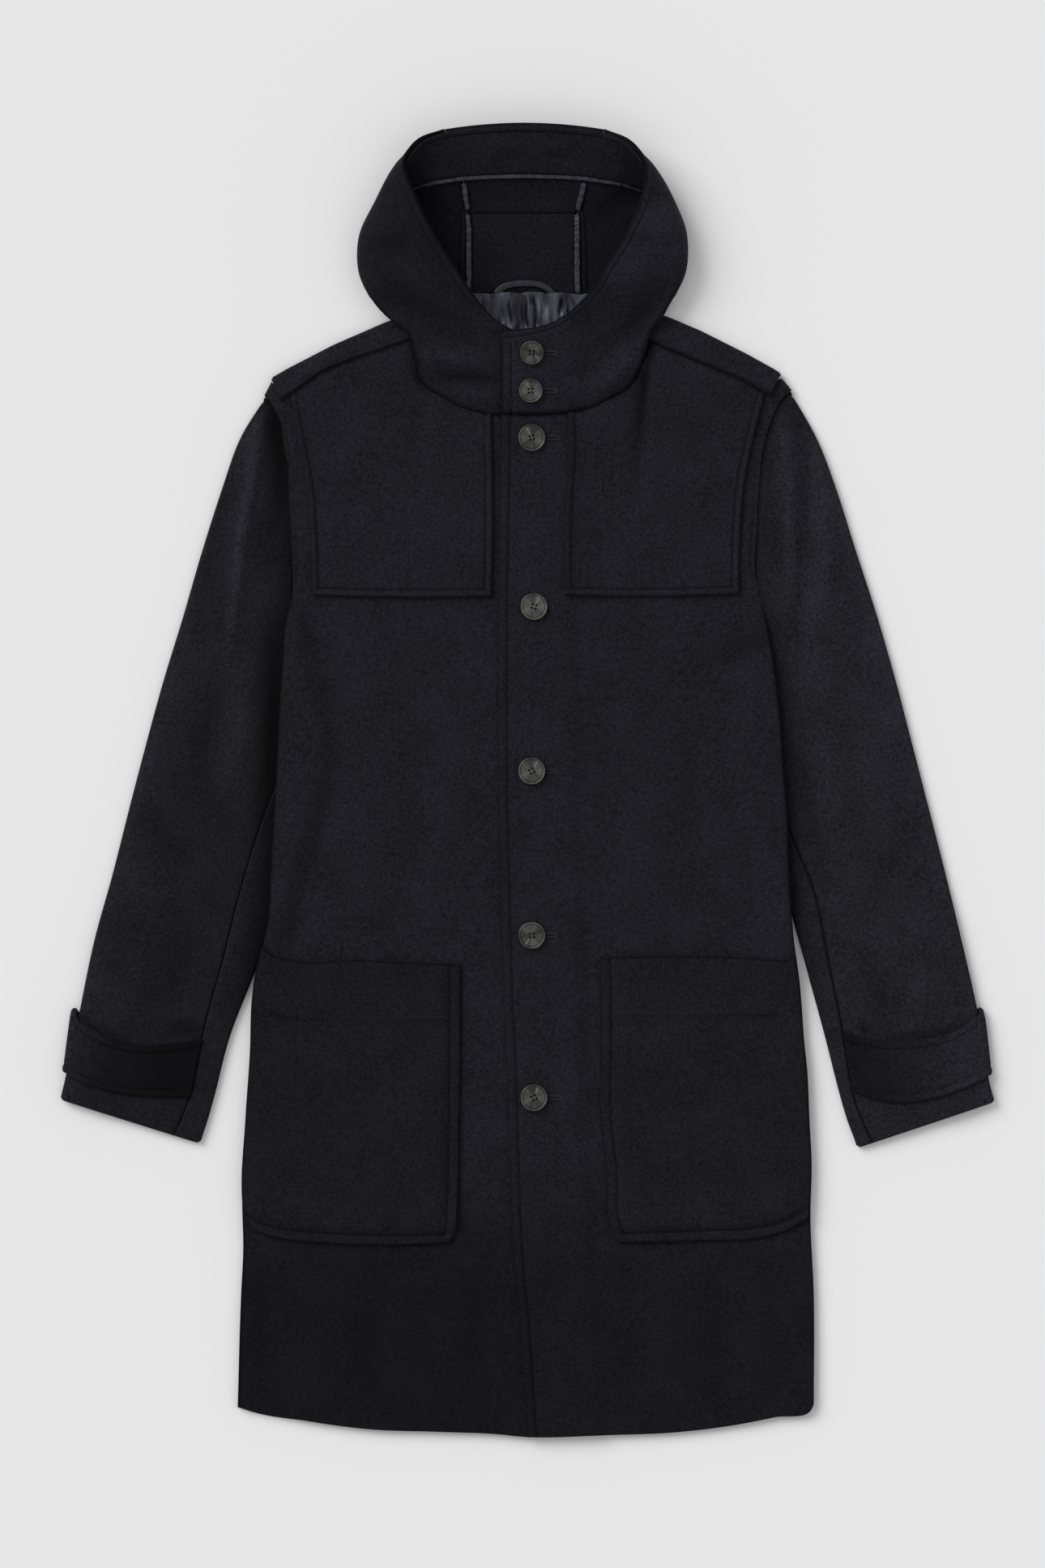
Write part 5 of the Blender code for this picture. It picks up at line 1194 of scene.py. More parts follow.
# A paler copy of the navy melton, which the hood's painted shade darkens again and its painted highlights
# leave pale.
hood_wool = wool_material("hood_melton", (0.0150, 0.0141, 0.0201))
side_right = hood_side(HOOD_RIGHT, NECK_SECTIONS_RIGHT, HOOD_FOLDS_RIGHT, False)
side_left = hood_side(HOOD_LEFT, NECK_SECTIONS_LEFT, HOOD_FOLDS_LEFT, True)
for side, (upper, under, painted_shade, under_painted_shade), below in (
        ("right", side_right, "front_right_cloth"), ("left", side_left, "hood_side_right_cloth")):
    piece = welded_piece(f"hood_side_{side}_cloth", [(upper, painted_shade), (under, under_painted_shade)], WOOL,
                         hood_wool)
    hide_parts("hood_side_" + side)

# ------------------------------------------------------------------ hood crown, back and facing
# A narrow panel of melton runs over the head between the two sides and down the inside of the neck,
# in two lengths joined by a cross seam. A facing of thin wool lies inside the rim, its inner edge
# bound in satin.
FACING_ROWS = 21
FACING_WOOL = 1.5
BINDING_WIDTH = 4.5
FACING_WRINKLES = [
    ([(16, 573), (28, 568), (42, 566)], 3.5, 1.6, "both"),
    ([(12, 564), (26, 560), (44, 558)], 3.5, -1.5, "both"),
    ([(20, 558), (32, 552), (46, 549)], 3.0, 1.2, "both"),
    ([(-44, 566), (-20, 570), (4, 572)], 5.0, 0.8, "both"),
    ([(-30, 556), (-8, 560), (10, 560)], 5.0, -0.8, "both"),
    ([(66, 566), (72, 556), (76, 546)], 4.0, -1.0, "both"),
    ([(-88, 562), (-84, 552), (-82, 544)], 4.0, -0.9, "both"),
]
BACK_WRINKLES = [
    ([(-40, 500), (0, 503), (38, 501)], 3, 0.6, "both"), ([(28, 508), (34, 503), (40, 497)], 3, 0.9, "both"),
    ([(-42, 455), (-38, 480), (-42, 505)], 5, 0.5, "both"),
    ([(20, 470), (26, 490), (24, 505)], 7, -0.4, "both"),
]

inside_right = np.concatenate([side_right[0][:BOWL_ROWS], side_right[1][:, 1:]], axis=1)
inside_left = np.concatenate([side_left[0][:BOWL_ROWS], side_left[1][:, 1:]], axis=1)
crown_shares = spaced(140, 3.4, start=(0, 0.35, 1.4), end=(0, 0.35, 1.4))[None, :, None]
crown_grid = inside_right[0][:, None] * (1 - crown_shares) + inside_left[0][:, None] * crown_shares
depth = np.linspace(1, 0, len(crown_grid))[:, None]
crown_grid[..., 1] += 6.0 * (1 - (2 * crown_shares[..., 0] - 1) ** 2) * depth
# The crown and the hood's back are evenly darkened by painted shade.
crown = curved_piece("hood_crown_cloth", crown_grid[:, 1:-1], WOOL, wool, painted_shade=0.3)
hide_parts("hood_crown")

x = np.linspace(-52.8, 44.8, 40)[None]
share = np.linspace(0, 1, 32)[:, None]
low = np.interp(x, *np.array(SHOULDER, dtype=float).T) - 1.5
y = low * (1 - share) + 511.4 * share
x = np.broadcast_to(x, y.shape)
hood_back_grid = np.stack([x, y, BACK_MIDDLE + folds(x, y, BACK_WRINKLES)], axis=2)
# Even painted shade, as on the crown.
hood_back = curved_piece("hood_back_cloth", hood_back_grid, WOOL, wool, painted_shade=0.3)
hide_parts("hood_back")

joined = np.concatenate([inside_right[FACING_ROWS:0:-1].transpose(1, 0, 2), crown_grid[:, 1:-1],
                         inside_left[1:FACING_ROWS + 1].transpose(1, 0, 2)], axis=1)
foot_column = side_right[0].shape[1] - 1 + TURN_COLUMNS
facing_lines = joined[[2, 9, 20, 28, foot_column - 5, foot_column - 1]]
facing_rise = WOOL / 2 + 1.1 + FACING_WOOL / 2
facing_grid = rounded(facing_lines + surface_normals(facing_lines) * facing_rise, np.linspace(0, 5, 51))
from_rim = edge_distances(facing_grid)["bottom"]
facing_relief = sewn_edge(from_rim, edge_distances(facing_grid)["left"], 5.6, 0.3, 0.9)
facing_grid = facing_grid + surface_normals(facing_grid) * facing_relief[..., None]
rumple = folds(facing_grid[..., 0], facing_grid[..., 1], FACING_WRINKLES)
facing_grid[..., 2] += rumple * smooth_step((from_rim - 8) / 6)
# Painted shade at the facing's stitching and in its wrinkles' troughs, and painted highlight on their ridges.
facing = curved_piece("hood_facing_cloth", facing_grid, FACING_WOOL, wool,
                      painted_shade=0.12 - 0.1 * rumple + 0.8 * bell(from_rim - 5.6, 0.9))
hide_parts("hood_facing")


def satin_material(name, dark, bright, streaks):
    """Slate-blue satin, woven fine, with painted reflections as bright and dark streaks across or along it by
    their scales, and darker by the painted shade kept on its mesh.
    """
    material, tree = new_material(name)
    place = tree.nodes.new("ShaderNodeTexCoord").outputs["Object"]
    nap = add_node(tree, "ShaderNodeGroup", {"Vector": place, "Fibre Scale": 2200.0},
                   node_tree=felted_nap).outputs
    painted_shade = add_node(tree, "ShaderNodeAttribute", {}, attribute_name="painted_shade").outputs["Fac"]
    stretched = add_node(tree, "ShaderNodeMapping", {"Vector": place, "Scale": streaks}).outputs["Vector"]
    streak = add_node(tree, "ShaderNodeTexNoise", {
        "Vector": stretched, "Scale": 1.0, "Detail": 3.0, "Distortion": 0.8}).outputs["Fac"]
    contrast = add_node(tree, "ShaderNodeMapRange", {"Value": streak, "From Min": 0.38, "From Max": 0.66})
    tone = mixed_colours(tree, contrast.outputs["Result"], (*dark, 1.0), (*bright, 1.0))
    set_inputs(tree.nodes["Principled BSDF"], {
        "Base Color": mixed_colours(tree, painted_shade, tone, (0.0008, 0.0008, 0.0014, 1.0)), "Roughness": 0.36,
        "Specular IOR Level": 0.42, "Specular Tint": (0.82, 0.83, 1.0, 1.0),
        "Normal": bumped(tree, nap["Height"], 0.35, 0.0002)})
    return material


satin = satin_material("slate_satin", (0.008, 0.008, 0.012), (0.050, 0.0495, 0.066), (260.0, 260.0, 260.0))


def toward(start, end, distance):
    """Points at a distance from start on the way to end."""
    step = end - start
    return start + step * (distance / np.linalg.norm(step, axis=-1, keepdims=True))


binding_start = facing_grid[-1]
binding_next = binding_start + joined[foot_column + 1] - joined[foot_column - 1]
binding_grid = np.array([toward(binding_start, binding_next, 0.3 + BINDING_WIDTH * t)
                         for t in np.linspace(0, 1, 8)])
puckers = 0.25 * np.sin(np.arange(binding_grid.shape[1]) * 1.9) * np.sin(np.linspace(0, np.pi, 8))[:, None]
binding_grid[..., 2] += puckers
# Painted shade along the binding's edges.
binding = curved_piece("facing_binding_satin", binding_grid, FACING_WOOL, satin,
                       painted_shade=np.array([1, 0.5, 0.1, 0, 0, 0.2, 0.6, 1])[:, None])
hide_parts("facing_binding")

# ------------------------------------------------------------------ seam tapes
# The hood's two long seams are covered inside with satin tape, 6.6 mm wide, in an upper and a lower
# length on each side of the cross seam. They pucker a little along their stitching.
TAPE = 0.8
HALF_TAPE = 3.3
TAPE_SHADE = np.array([0.95, 0.35, 0.05, 0.3, 0.95])[None]
TAPE_SPAN = (0.13, 0.93)


def tape_piece(name, outer, seam, inner, pucker):
    """A tape over a seam: points at half and at all of its half width on both sides, towards the lines
    beside the seam, raised to lie over the seam's allowance."""
    band = np.stack([toward(seam, outer, HALF_TAPE), toward(seam, outer, HALF_TAPE / 2), seam,
                     toward(seam, inner, HALF_TAPE / 2), toward(seam, inner, HALF_TAPE)], axis=1)
    band[..., 2] += WOOL / 2 + 0.7 + TAPE / 2 + pucker[:, None]
    return curved_piece(name, band, TAPE, satin, roll=0.6, painted_shade=TAPE_SHADE)


for side, low_panel, column, inner_column, inward, pitch in (
        ("right", side_right[1], 0, 1, 1.0, 0.9), ("left", side_left[1], -1, -2, -1.0, 2.1)):
    shares = np.linspace(*TAPE_SPAN, 26)[:, None]
    foot_lines = (low_panel[1, TURN_COLUMNS:], crown_grid[foot_column:, column],
                  crown_grid[foot_column:, inner_column])
    outer, seam, inner = (line[0] + (line[-1] - line[0]) * shares for line in foot_lines)
    piece = tape_piece(f"seam_tape_upper_{side}_satin", outer, seam, inner,
                       0.3 * np.sin(np.arange(26) * pitch))
    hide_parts("seam_tape_upper_" + side)
    seam, outer = low_panel[2:-2, -1], low_panel[2:-2, -2]
    piece = tape_piece(f"seam_tape_lower_{side}_satin", outer, seam, seam + [inward, 0, 0],
                       0.2 * np.sin(np.arange(len(seam)) * 1.3))
    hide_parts("seam_tape_lower_" + side)

# ------------------------------------------------------------------ hanger loop and lining
# A short loop of folded satin, 7 mm wide, is sewn over the neck seam. Below it the top of the satin
# lining shows, in vertical folds.
LOOP_PATH = [(-29, 436.5), (-26, 440.5), (-20, 444.5), (-12, 446.6), (-3, 447.2), (7, 446.8), (14, 445),
             (20, 441), (24, 436.5)]
LOOP_WIDTH = 6.6
LINING_LOW = 392
LINING_FOLDS = [
    ([(-2, 437), (-3, 420), (-1, 404)], 2.2, -2.0, "both"),
    ([(7, 438), (8, 420), (7, 400)], 1.8, -2.2, "both"),
    ([(30, 438), (31, 428), (29, 417)], 1.6, -2.0, "both"),
    ([(-26, 437), (-24, 420), (-20, 404)], 7, -0.9, "both"),
    ([(-12, 436), (-12, 420), (-11, 404)], 4, 0.8, "both"),
    ([(18, 437), (18, 420), (18, 404)], 6, 0.9, "both"),
    ([(40, 437), (42, 430), (45, 424)], 2.0, -1.2, "both"),
]
loop_path = smooth_line(LOOP_PATH)(np.linspace(0, 1, 50))
loop_step = np.gradient(loop_path, axis=0)
loop_side = np.stack([-loop_step[:, 1], loop_step[:, 0]], axis=1)
loop_side = loop_side / np.linalg.norm(loop_side, axis=1, keepdims=True)
loop_plan = np.stack([loop_path + loop_side * (LOOP_WIDTH * (t - 0.5)) for t in np.linspace(0, 1, 9)], axis=1)
loop_z = (4.0 + 0.25 * np.sin(np.linspace(0, np.pi, 9))[None]
          + 0.8 * np.sin(np.linspace(0, np.pi, 50))[:, None])
# Painted shade, darkest at the loop's edges.
loop = curved_piece("hanger_loop_satin", at_height(loop_plan, loop_z), 1.2, satin, roll=0.9,
                    painted_shade=np.array([1, 0.9, 0.75, 0.6, 0.7, 0.5, 0.65, 0.85, 1])[None])
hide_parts("hanger_loop")

# The lining's satin has painted reflections: dark and bright streaks between these two colours.
lining_satin = satin_material("lining_satin", (0.003, 0.003, 0.0045), (0.068, 0.068, 0.092),
                              (105.0, 34.0, 60.0))
x = np.linspace(-88, 84, 260)[None]
top = np.interp(x, *np.array(SHOULDER, dtype=float).T) + 0.6 + 0.5 * np.sin(x / 4.1)
share = np.linspace(0, 1, 50)[:, None]
y = LINING_LOW * (1 - share) + top * share
bend = x + 2.2 * np.sin(y / 8.5 + x / 21) + 1.3 * np.sin(y / 4.1 + x / 13)
pleats = (1.5 * np.abs(np.sin(bend / 6.3 + 0.9)) ** 0.7 + 0.8 * np.sin(bend / 2.6 + 1.1)
          + 0.4 * np.sin(bend / 1.3))
pleats = pleats * (1 - 0.5 * share) + 0.7 * np.sin(y / 5.1 + x / 9) * share
lining_grid = np.stack([np.broadcast_to(x, y.shape), y, 4.9 + pleats * 1.1], axis=2)
creased = folds(lining_grid[..., 0], y, LINING_FOLDS)
lining_grid[..., 2] += creased
# Painted shade in the troughs of the lining's creases.
lining = curved_piece("lining_satin", lining_grid, 0.9, lining_satin, roll=0.6,
                      painted_shade=(-0.42 * creased).clip(0))
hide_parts("lining")

# ------------------------------------------------------------------ buttons
# Seven turned horn buttons, 25 mm on the body and 22 mm on the hood, with a raised rim, a dished face
# and four holes. Each is turned its own way and polished; its face has painted highlights, one streak
# out from its middle and a rim, and painted shade at its outer edge. Each button's middle, radius, turn
# of its holes and of its painted streak in degrees, and how bright its face is painted.
BUTTONS = [
    ("button_front_1", 4, 308, 12.5, 12, 118, 0.0), ("button_front_2", 6, 156, 12.5, -17, 62, 0.18),
    ("button_front_3", 4, 8, 12.5, 28, 60, 0.11), ("button_front_4", 4, -140, 12.5, 5, 235, 0.02),
    ("button_front_5", 6, -286, 12.5, 27, 70, 0.0), ("button_hood_1", 4, 384, 11.0, -8, -42, 0.0),
    ("button_hood_2", 3, 350, 11.0, 3, 118, 0.17),
]
# Profile of a button: share of its radius and height in mm, from the middle of its face, over the
# rim, round the edge and back to the middle of its underside.
BUTTON_PROFILE = [(0, 2.55), (0.16, 2.55), (0.3, 2.57), (0.45, 2.62), (0.58, 2.7), (0.66, 2.78), (0.73, 2.86),
                  (0.775, 2.9), (0.795, 2.7), (0.815, 2.72), (0.835, 3.1), (0.86, 3.4), (0.9, 3.55),
                  (0.94, 3.5), (0.97, 3.3), (0.99, 2.95), (1.0, 2.4), (0.995, 1.7), (0.96, 1.0),
                  (0.88, 0.4), (0.75, 0.1), (0.5, 0.0), (0, 0.0)]
BUTTON_TURNS = 96
HOLE_OUT = 2.4
HOLE_RADIUS = 1.12


def horn_material():
    """Polished grey horn. How bright each point of a face is painted, with its painted highlights and shade,
    is kept on its mesh; fine rings from turning come from a UV map, whose U is the share of the radius."""
    material, tree = new_material("turned_horn")
    place = add_node(tree, "ShaderNodeUVMap", {}, uv_map="turned").outputs["UV"]
    rings = add_node(tree, "ShaderNodeMapping", {"Vector": place, "Scale": (38.0, 2.5, 1.0)})
    ring_noise = add_node(tree, "ShaderNodeTexNoise", {
        "Vector": rings.outputs["Vector"], "Scale": 1.0, "Detail": 3.0}).outputs["Fac"]
    painted_shine = add_node(tree, "ShaderNodeAttribute", {}, attribute_name="painted_shine").outputs["Fac"]
    level = add_node(tree, "ShaderNodeMath", {0: ring_noise, 1: 0.4, 2: painted_shine}, operation="MULTIPLY_ADD")
    tone = mixed_colours(tree, level.outputs[0], (0.004, 0.004, 0.0035, 1.0), (0.115, 0.116, 0.107, 1.0))
    set_inputs(tree.nodes["Principled BSDF"], {
        "Base Color": tone, "Roughness": 0.36, "Specular IOR Level": 0.5,
        "Normal": bumped(tree, ring_noise, 0.4, 0.0001)})
    return material


def surface_under(pieces):
    """The height of the topmost of some finished pieces, as a function of x and y in millimetres,
    found by dropping a ray. Where there is none it gives the height at the nearest point."""
    state = bpy.context.evaluated_depsgraph_get()
    trees = [BVHTree.FromObject(piece, state) for piece in pieces]

    def height(x, y):
        hits = [tree.ray_cast(Vector((x * MM, y * MM, 0.2)), Vector((0, 0, -1)))[0] for tree in trees]
        hits = [hit.z for hit in hits if hit is not None]
        if not hits:
            hits = [max(tree.find_nearest(Vector((x * MM, y * MM, 0.01)))[0].z for tree in trees)]
        return max(hits) / MM
    return height


def hole_middles(turn):
    """The middles of a button's four holes, for its turn in degrees."""
    around = np.radians(turn + 45 + 90 * np.arange(4))
    return HOLE_OUT * np.stack([np.cos(around), np.sin(around)], axis=1)


def button_mesh(name, radius, turn):
    """A button's profile turned round its axis, with four holes cut through it."""
    profile = np.array(BUTTON_PROFILE)
    rows, around = len(profile) - 2, BUTTON_TURNS
    angle = np.linspace(0, 2 * np.pi, around, endpoint=False)[None]
    share = profile[1:-1, 0][:, None]
    rings = np.stack([share * radius * np.cos(angle), share * radius * np.sin(angle),
                      np.broadcast_to(profile[1:-1, 1][:, None], (rows, around))], axis=2)
    points = np.concatenate([rings.reshape(-1, 3), [[0, 0, profile[0, 1]], [0, 0, profile[-1, 1]]]])
    index = np.arange(rows * around).reshape(rows, around)
    after = np.roll(index, -1, axis=1)
    faces = np.stack([index[1:], after[1:], after[:-1], index[:-1]], axis=-1).reshape(-1, 4).tolist()
    faces += np.stack([index[0], after[0], np.full(around, rows * around)], axis=-1).tolist()
    faces += np.stack([after[-1], index[-1], np.full(around, rows * around + 1)], axis=-1).tolist()
    mesh = bpy.data.meshes.new(name)
    mesh.from_pydata((points * MM).tolist(), [], faces)
    body = bpy.data.objects.new(name, mesh)
    bpy.context.scene.collection.objects.link(body)
    turned_out(body)
    cutters = bmesh.new()
    for hole_x, hole_y in hole_middles(turn) * MM:
        made = bmesh.ops.create_cone(cutters, cap_ends=True, segments=20, radius1=HOLE_RADIUS * MM,
                                     radius2=HOLE_RADIUS * MM, depth=10 * MM)
        bmesh.ops.translate(cutters, verts=made["verts"], vec=Vector((hole_x, hole_y, 0)))
    cutter_mesh = bpy.data.meshes.new(name + "_holes")
    cutters.to_mesh(cutter_mesh)
    cutters.free()
    cutter = bpy.data.objects.new(name + "_holes", cutter_mesh)
    bpy.context.scene.collection.objects.link(cutter)
    cut = body.modifiers.new("holes", "BOOLEAN")
    cut.operation = "DIFFERENCE"
    cut.object = cutter
    cut.solver = "EXACT"
    finished = bpy.data.meshes.new_from_object(body.evaluated_get(bpy.context.evaluated_depsgraph_get()))
    bpy.data.objects.remove(body)
    bpy.data.objects.remove(cutter)
    return finished


def polished(share, angle, streak, pale, radius):
    """How bright a face is painted: painted reflection in three slow waves round it, painted highlight in
    one narrow streak out from its middle and in a bright rim that is brightest opposite to it, and painted
    shade in its rim's groove and at a dark outer edge."""
    waves = (0.16 * np.sin(angle * 2 + streak) + 0.1 * np.sin(angle * 5 + 2 * streak)
             + 0.06 * np.sin(angle * 11))
    off = np.arctan2(np.sin(angle - streak), np.cos(angle - streak))
    painted_gleam = 0.9 * bell(off, 0.085) * (share > 0.15) * (share < 0.8)
    rim = 0.26 * bell(share - 0.92, 0.045) * (1 - 0.8 * np.cos(off))
    groove = -0.45 * bell(share - 0.8, 0.03)
    edge = -0.9 * smooth_step((share * radius - radius + 1.0) / 0.45)
    return pale + waves + painted_gleam + rim + groove + edge


horn = horn_material()
button_bed = surface_under([front_left, bpy.data.objects["hood_side_left_cloth"]])
button_holes = []
for node, x, y, radius, turn, streak, pale in BUTTONS:
    finished = button_mesh(node + "_turned", radius, turn)
    around = np.linspace(0, 2 * np.pi, 12, endpoint=False)
    rim = radius * 0.85 * np.stack([np.cos(around), np.sin(around)], axis=1)
    heights = np.array([button_bed(x + px, y + py) for px, py in rim])
    slope = (heights[:, None] * rim).sum(axis=0) / (rim ** 2).sum(axis=0)
    rest = heights.mean() + 0.55 * (heights - heights.mean() - rim @ slope).max()
    spots = np.empty(len(finished.vertices) * 3)
    finished.vertices.foreach_get("co", spots)
    spots = spots.reshape(-1, 3) / MM
    share = np.linalg.norm(spots[:, :2], axis=1) / radius
    angle = np.arctan2(spots[:, 1], spots[:, 0])
    seated = spots + [x, y, 0] + (spots[:, :2] @ slope + rest)[:, None] * [0, 0, 1]
    finished.vertices.foreach_set("co", (seated * MM).ravel())
    painted_shine = polished(share, angle, math.radians(streak), pale, radius)
    kept = finished.attributes.new("painted_shine", "FLOAT", "POINT")
    kept.data.foreach_set("value", painted_shine.astype(np.float32))
    corner_vertex = np.empty(len(finished.loops), dtype=np.int32)
    finished.loops.foreach_get("vertex_index", corner_vertex)
    layer = finished.uv_layers.new(name="turned")
    layer.data.foreach_set("uv", np.stack([share, np.abs(angle) / np.pi], axis=1)[corner_vertex].ravel())
    finished.shade_smooth()
    finished.materials.clear()
    finished.materials.append(horn)
    piece = bpy.data.objects.new(node + "_turned", finished)
    bpy.context.scene.collection.objects.link(piece)
    edges = piece.modifiers.new("crisp", "EDGE_SPLIT")
    edges.split_angle = math.radians(50)
    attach(piece, "root")
    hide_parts(node)
    button_holes += [(x + out[0], y + out[1], rest + out @ slope) for out in hole_middles(turn)]

# ------------------------------------------------------------------ stitching and buttonholes
# Matching thread, sunk in the grooves that it pulls: topstitching along the fronts' opening, the chest
# patches, the pockets, the armholes and the hood, 3 mm a stitch, small slanted stitches that hold the
# pockets' hems, close bars round each buttonhole, and near-black pegs in the buttons' holes, their
# thread coloured as painted shadow.
# A stitch's points: share of its length, share of its half width, and which of its five sides.
STITCH = np.array([(0, 0, 0)] + [(0.18, 0.8, a) for a in range(5)] + [(0.82, 0.8, a) for a in range(5)]
                  + [(1, 0, 0)])
BUTTONHOLE_ENDS = (28, 22, 25, 25, 30, 25.5, 25.5)
SHADOW = (0.0008, 0.0008, 0.001)


def plain_material(name, colour, roughness=0.8, gloss=0.15):
    """One colour all over, as of dull sewing thread."""
    material, tree = new_material(name)
    set_inputs(tree.nodes["Principled BSDF"], {
        "Base Color": (*colour, 1.0), "Roughness": roughness, "Specular IOR Level": gloss})
    return material


def thread_piece(name, starts, ends, width, material):
    """Many stitches in one mesh: each is a five-sided bar with pointed ends, from start to end."""
    starts, ends = np.array(starts, dtype=float), np.array(ends, dtype=float)
    length = np.linalg.norm(ends - starts, axis=1, keepdims=True)
    along = (ends - starts) / length
    side = np.cross(along, [0.0, 0.0, 1.0])
    side = side / np.maximum(np.linalg.norm(side, axis=1, keepdims=True), 1e-6)
    up = np.cross(side, along)
    angle = 2 * np.pi * STITCH[:, 2] / 5
    across = (STITCH[:, 1] * np.cos(angle) * width / 1.6)[None, :, None] * side[:, None]
    rise = (STITCH[:, 1] * np.sin(angle) * width / 1.6)[None, :, None] * up[:, None]
    points = starts[:, None] + along[:, None] * (STITCH[:, 0][None] * length)[..., None] + across + rise
    faces = []
    for k in range(5):
        after = (k + 1) % 5
        faces += [(0, 1 + after, 1 + k), (1 + k, 1 + after, 6 + after, 6 + k), (6 + k, 6 + after, 11)]
    every = [tuple(corner + 12 * i for corner in face) for i in range(len(starts)) for face in faces]
    return turned_out(new_piece(name, points.reshape(-1, 3), every, material))


def line_in(plan, side, inset, trim=6.0):
    """The line over a grid at a distance in from one of its edges, without its last few millimetres."""
    distance, grid = edge_distances(plan)[side], plan
    if side in ("bottom", "top"):
        distance, grid = distance.T, plan.transpose(1, 0, 2)
    if distance[0, 0] > distance[0, -1]:
        distance, grid = distance[:, ::-1], grid[:, ::-1]
    line = np.array([[np.interp(inset, d, g[:, k]) for k in range(2)] for d, g in zip(distance, grid)])
    place = run_along(line)
    return line[(place > trim) & (place < place[-1] - trim)]


def run_of_stitches(line, pitch=3.0, share=0.72):
    """Starts and ends of stitches along a line of x and y."""
    line = np.array(line, dtype=float)[:, :2]
    place = run_along(line)
    first = np.arange(0.5, place[-1] - pitch, pitch)
    starts = np.stack([np.interp(first, place, line[:, k]) for k in range(2)], axis=1)
    ends = np.stack([np.interp(first + pitch * share, place, line[:, k]) for k in range(2)], axis=1)
    return starts, ends


def on_surface(spots, height, sink):
    """x and y with the height of the cloth beneath them, less how far the thread has sunk."""
    return np.array([(px, py, height(px, py) - sink) for px, py in spots])


cloth_top = surface_under([bpy.data.objects[name] for name in (
    "front_right_cloth", "front_left_cloth", "chest_patch_right_cloth", "chest_patch_left_cloth",
    "pocket_right_cloth", "pocket_left_cloth", "yoke_cloth", "hood_side_right_cloth", "hood_side_left_cloth",
    "hood_facing_cloth", "strap_right_cloth", "strap_left_cloth", "sleeve_top_right_cloth",
    "sleeve_top_left_cloth")])
seams = [line_in(*seam) for seam in (
    (left_plan, "left", OPENING_INSET, 3.0),
    (patch_right_plan, "left", PATCH_INSET), (patch_right_plan, "right", PATCH_INSET),
    (patch_right_plan, "bottom", PATCH_INSET), (patch_left_plan, "left", PATCH_INSET),
    (patch_left_plan, "right", PATCH_INSET), (patch_left_plan, "bottom", PATCH_INSET),
    (pocket_right_plan, "right", POCKET_FRONT_INSET, 9.0),
    (pocket_right_plan, "bottom", POCKET_BOTTOM_INSET, 9.0),
    (pocket_left_plan, "left", POCKET_FRONT_INSET, 9.0),
    (pocket_left_plan, "bottom", POCKET_BOTTOM_INSET, 9.0))]
armhole_seams = [line[(line[:, 1] > 172) & (line[:, 1] < 332)] for line in (
    line_in(right_plan, "left", ARMHOLE_INSET), line_in(left_plan, "right", ARMHOLE_INSET))]
rim_column = RIM_COLUMNS.index(6.5)
hood_lines = [side_right[0][10:-2, rim_column], side_left[0][10:-2, rim_column],
              np.stack([np.full(20, -14.6), np.linspace(334, 396, 20)], axis=1)]
starts, ends = [], []
for line in seams + armhole_seams + hood_lines:
    first, last = run_of_stitches(line)
    starts.append(on_surface(first, cloth_top, 0.12))
    ends.append(on_surface(last, cloth_top, 0.12))
thread_piece("topstitching", np.concatenate(starts), np.concatenate(ends), 0.55,
             plain_material("wool_thread", (0.006, 0.0055, 0.008)))

# Small upright stitches hold the hems inside the pockets' mouths; the left pocket's show more.
hem_starts, hem_ends = [], []
for low, high, level, pitch in ((-204, -71, -214.0, 2.3), (77, 214, -209.3, 2.1)):
    places = np.arange(low, high, pitch)
    wander = 0.5 * np.sin(places * 0.7) + 0.3 * np.sin(places * 2.9)
    first = np.stack([places, level - 1.2 + wander], axis=1)
    last = np.stack([places + 0.5, level + 1.2 + wander], axis=1)
    hem_starts.append(on_surface(first, cloth_top, 0.05))
    hem_ends.append(on_surface(last, cloth_top, 0.05))
thread_piece("pocket_hem_stitches", np.concatenate(hem_starts), np.concatenate(hem_ends), 0.6,
             plain_material("pick_thread", (0.022, 0.0215, 0.028)))

# A bar tack ends the outer seam inside each cuff, its thread the near-black of painted shadow.
tacks = np.array([(-414.4, -285.4, -412.2, -284.8), (410.4, -290.6, 413.6, -289.2)])
thread_piece("cuff_tacks", on_surface(tacks[:, :2], cloth_top, 0.4), on_surface(tacks[:, 2:], cloth_top, 0.4),
             2.6, plain_material("tack_thread_shadow", SHADOW))

# Each buttonhole shows from its button's rim to its end: bars along both sides and round the end, a
# near-black line of painted shadow in the slit between them, and another below the lower bar.
bar_starts, bar_ends, slit_starts, slit_ends = [], [], [], []
for (_, x, y, radius, _, _, _), reach in zip(BUTTONS, BUTTONHOLE_ENDS):
    places = np.arange(x + radius - 1.5, reach, 0.75)
    for side in (-1, 1):
        first = np.stack([places, np.full(len(places), y + side * 0.6)], axis=1)
        last = np.stack([places + 0.2, np.full(len(places), y + side * 2.4)], axis=1)
        bar_starts.append(on_surface(first, cloth_top, -0.1))
        bar_ends.append(on_surface(last, cloth_top, 0.02))
    turns = np.radians(np.arange(-75, 76, 25))
    first = np.stack([reach + 0.6 * np.cos(turns), y + 0.6 * np.sin(turns)], axis=1)
    last = np.stack([reach + 2.3 * np.cos(turns), y + 2.4 * np.sin(turns)], axis=1)
    bar_starts.append(on_surface(first, cloth_top, -0.1))
    bar_ends.append(on_surface(last, cloth_top, 0.02))
    for side in (0, -3.0):
        ends = np.array([(x + radius - 1.5, y + side), (reach + 0.4, y + side)])
        slit_starts.append(on_surface(ends[:1], cloth_top, 0.08))
        slit_ends.append(on_surface(ends[1:], cloth_top, 0.08))
thread_piece("buttonhole_bars", np.concatenate(bar_starts), np.concatenate(bar_ends), 0.55,
             plain_material("buttonhole_thread", (0.029, 0.028, 0.037)))
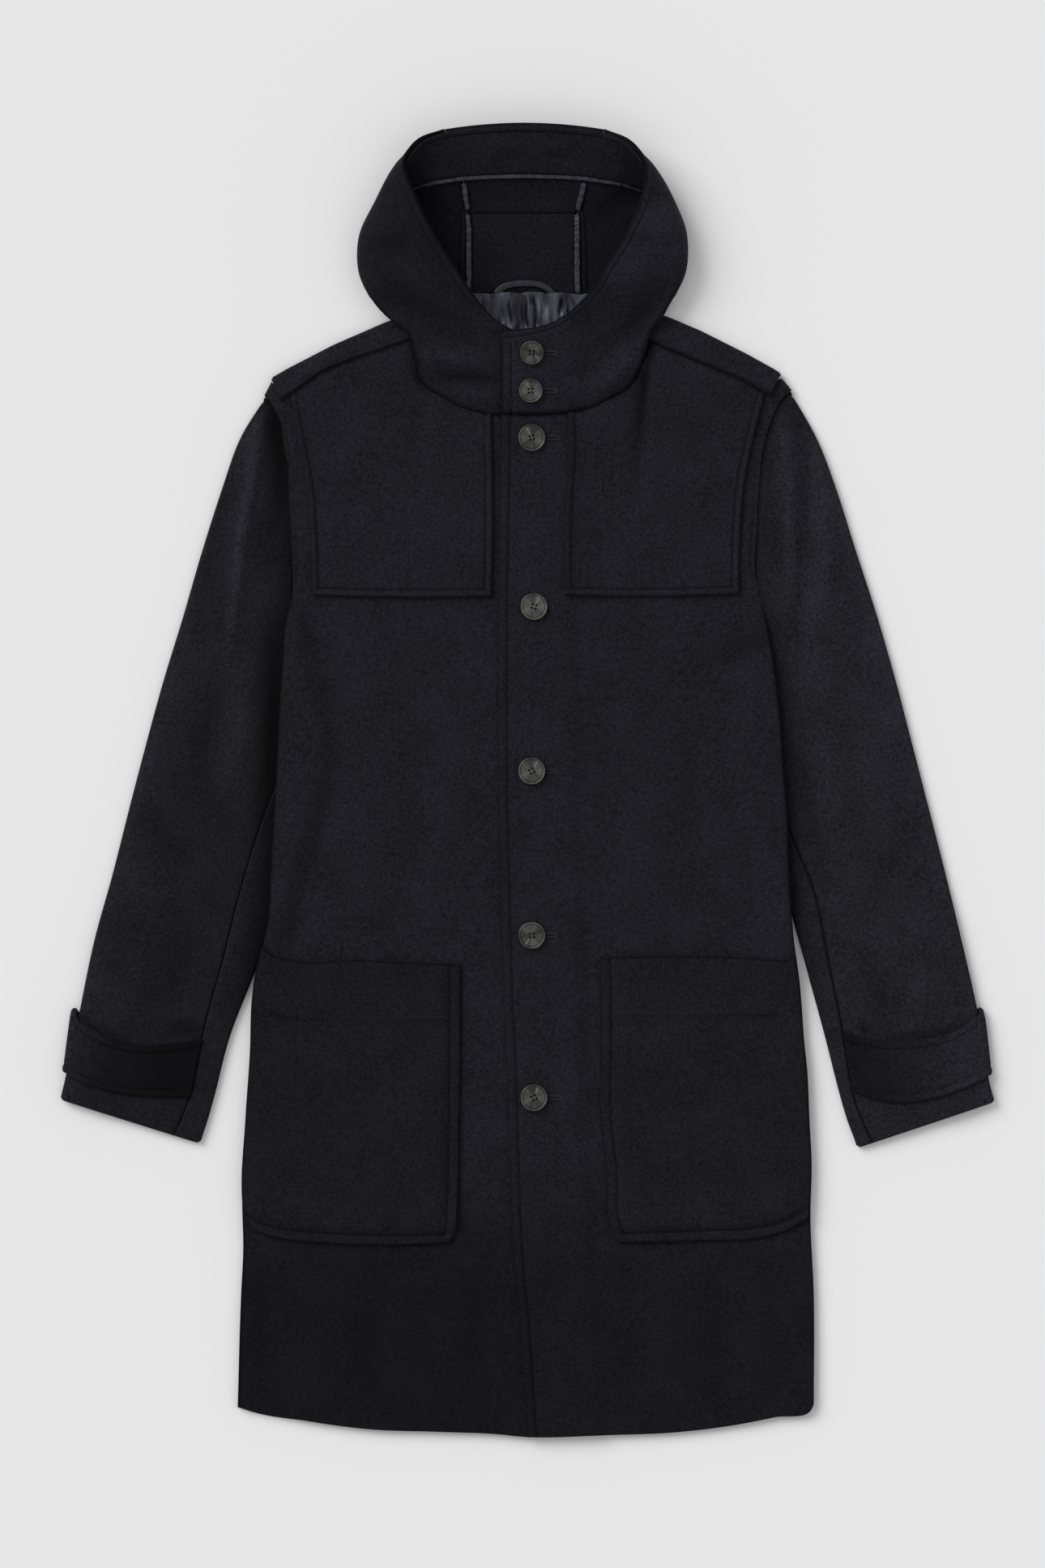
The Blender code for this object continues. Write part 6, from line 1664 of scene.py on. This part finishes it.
painted_shadow_material = plain_material("slit_shadow", SHADOW)
thread_piece("buttonhole_slits", np.concatenate(slit_starts), np.concatenate(slit_ends), 0.7, painted_shadow_material)
# The buttons' holes are filled with near-black pegs: their thread, coloured as the painted shadow in the
# holes.
pegs = np.array(button_holes)
thread_piece("button_thread", pegs + [0, 0, 0.2], pegs + [0.02, 0, 2.75], 2.15, painted_shadow_material)

# ------------------------------------------------------------------ floor, light and camera
# A pale seamless floor, even soft light from all round with a broad lamp high on the upper left,
# and a long lens straight above the coat.
FLOOR_SIZE = 30.0
LENS = 300.0
SENSOR = 36.0
PICTURE_HEIGHT = 1.4126
PICTURE_CENTRE = (-0.0044, -0.0037)

floor_mesh = bpy.data.meshes.new("floor")
half = FLOOR_SIZE / 2
floor_mesh.from_pydata([(-half, -half, 0), (half, -half, 0), (half, half, 0), (-half, half, 0)], [],
                       [(0, 1, 2, 3)])
floor = bpy.data.objects.new("floor", floor_mesh)
bpy.context.scene.collection.objects.link(floor)
floor_mesh.materials.append(plain_material("pale_floor", (0.8, 0.8, 0.8), roughness=0.9, gloss=0.0))

sun = bpy.data.lights.new("broad_lamp", "SUN")
sun.energy = 2.11
sun.angle = math.radians(38)
lamp = bpy.data.objects.new("broad_lamp", sun)
lamp.rotation_euler = Vector((1.1, -0.9, -1.0)).to_track_quat("-Z", "Y").to_euler()
bpy.context.scene.collection.objects.link(lamp)
world = bpy.data.worlds.new("studio")
world.use_nodes = True
world.node_tree.nodes["Background"].inputs["Color"].default_value = (1.0, 1.0, 1.0, 1.0)
world.node_tree.nodes["Background"].inputs["Strength"].default_value = 0.61
bpy.context.scene.world = world
bpy.context.scene.view_settings.view_transform = "Standard"

camera_data = bpy.data.cameras.new("camera")
camera_data.lens = LENS
camera_data.sensor_width = SENSOR
camera_data.clip_end = 100.0
camera = bpy.data.objects.new("camera", camera_data)
camera.location = (*PICTURE_CENTRE, PICTURE_HEIGHT * LENS / SENSOR)
bpy.context.scene.collection.objects.link(camera)
bpy.context.scene.camera = camera
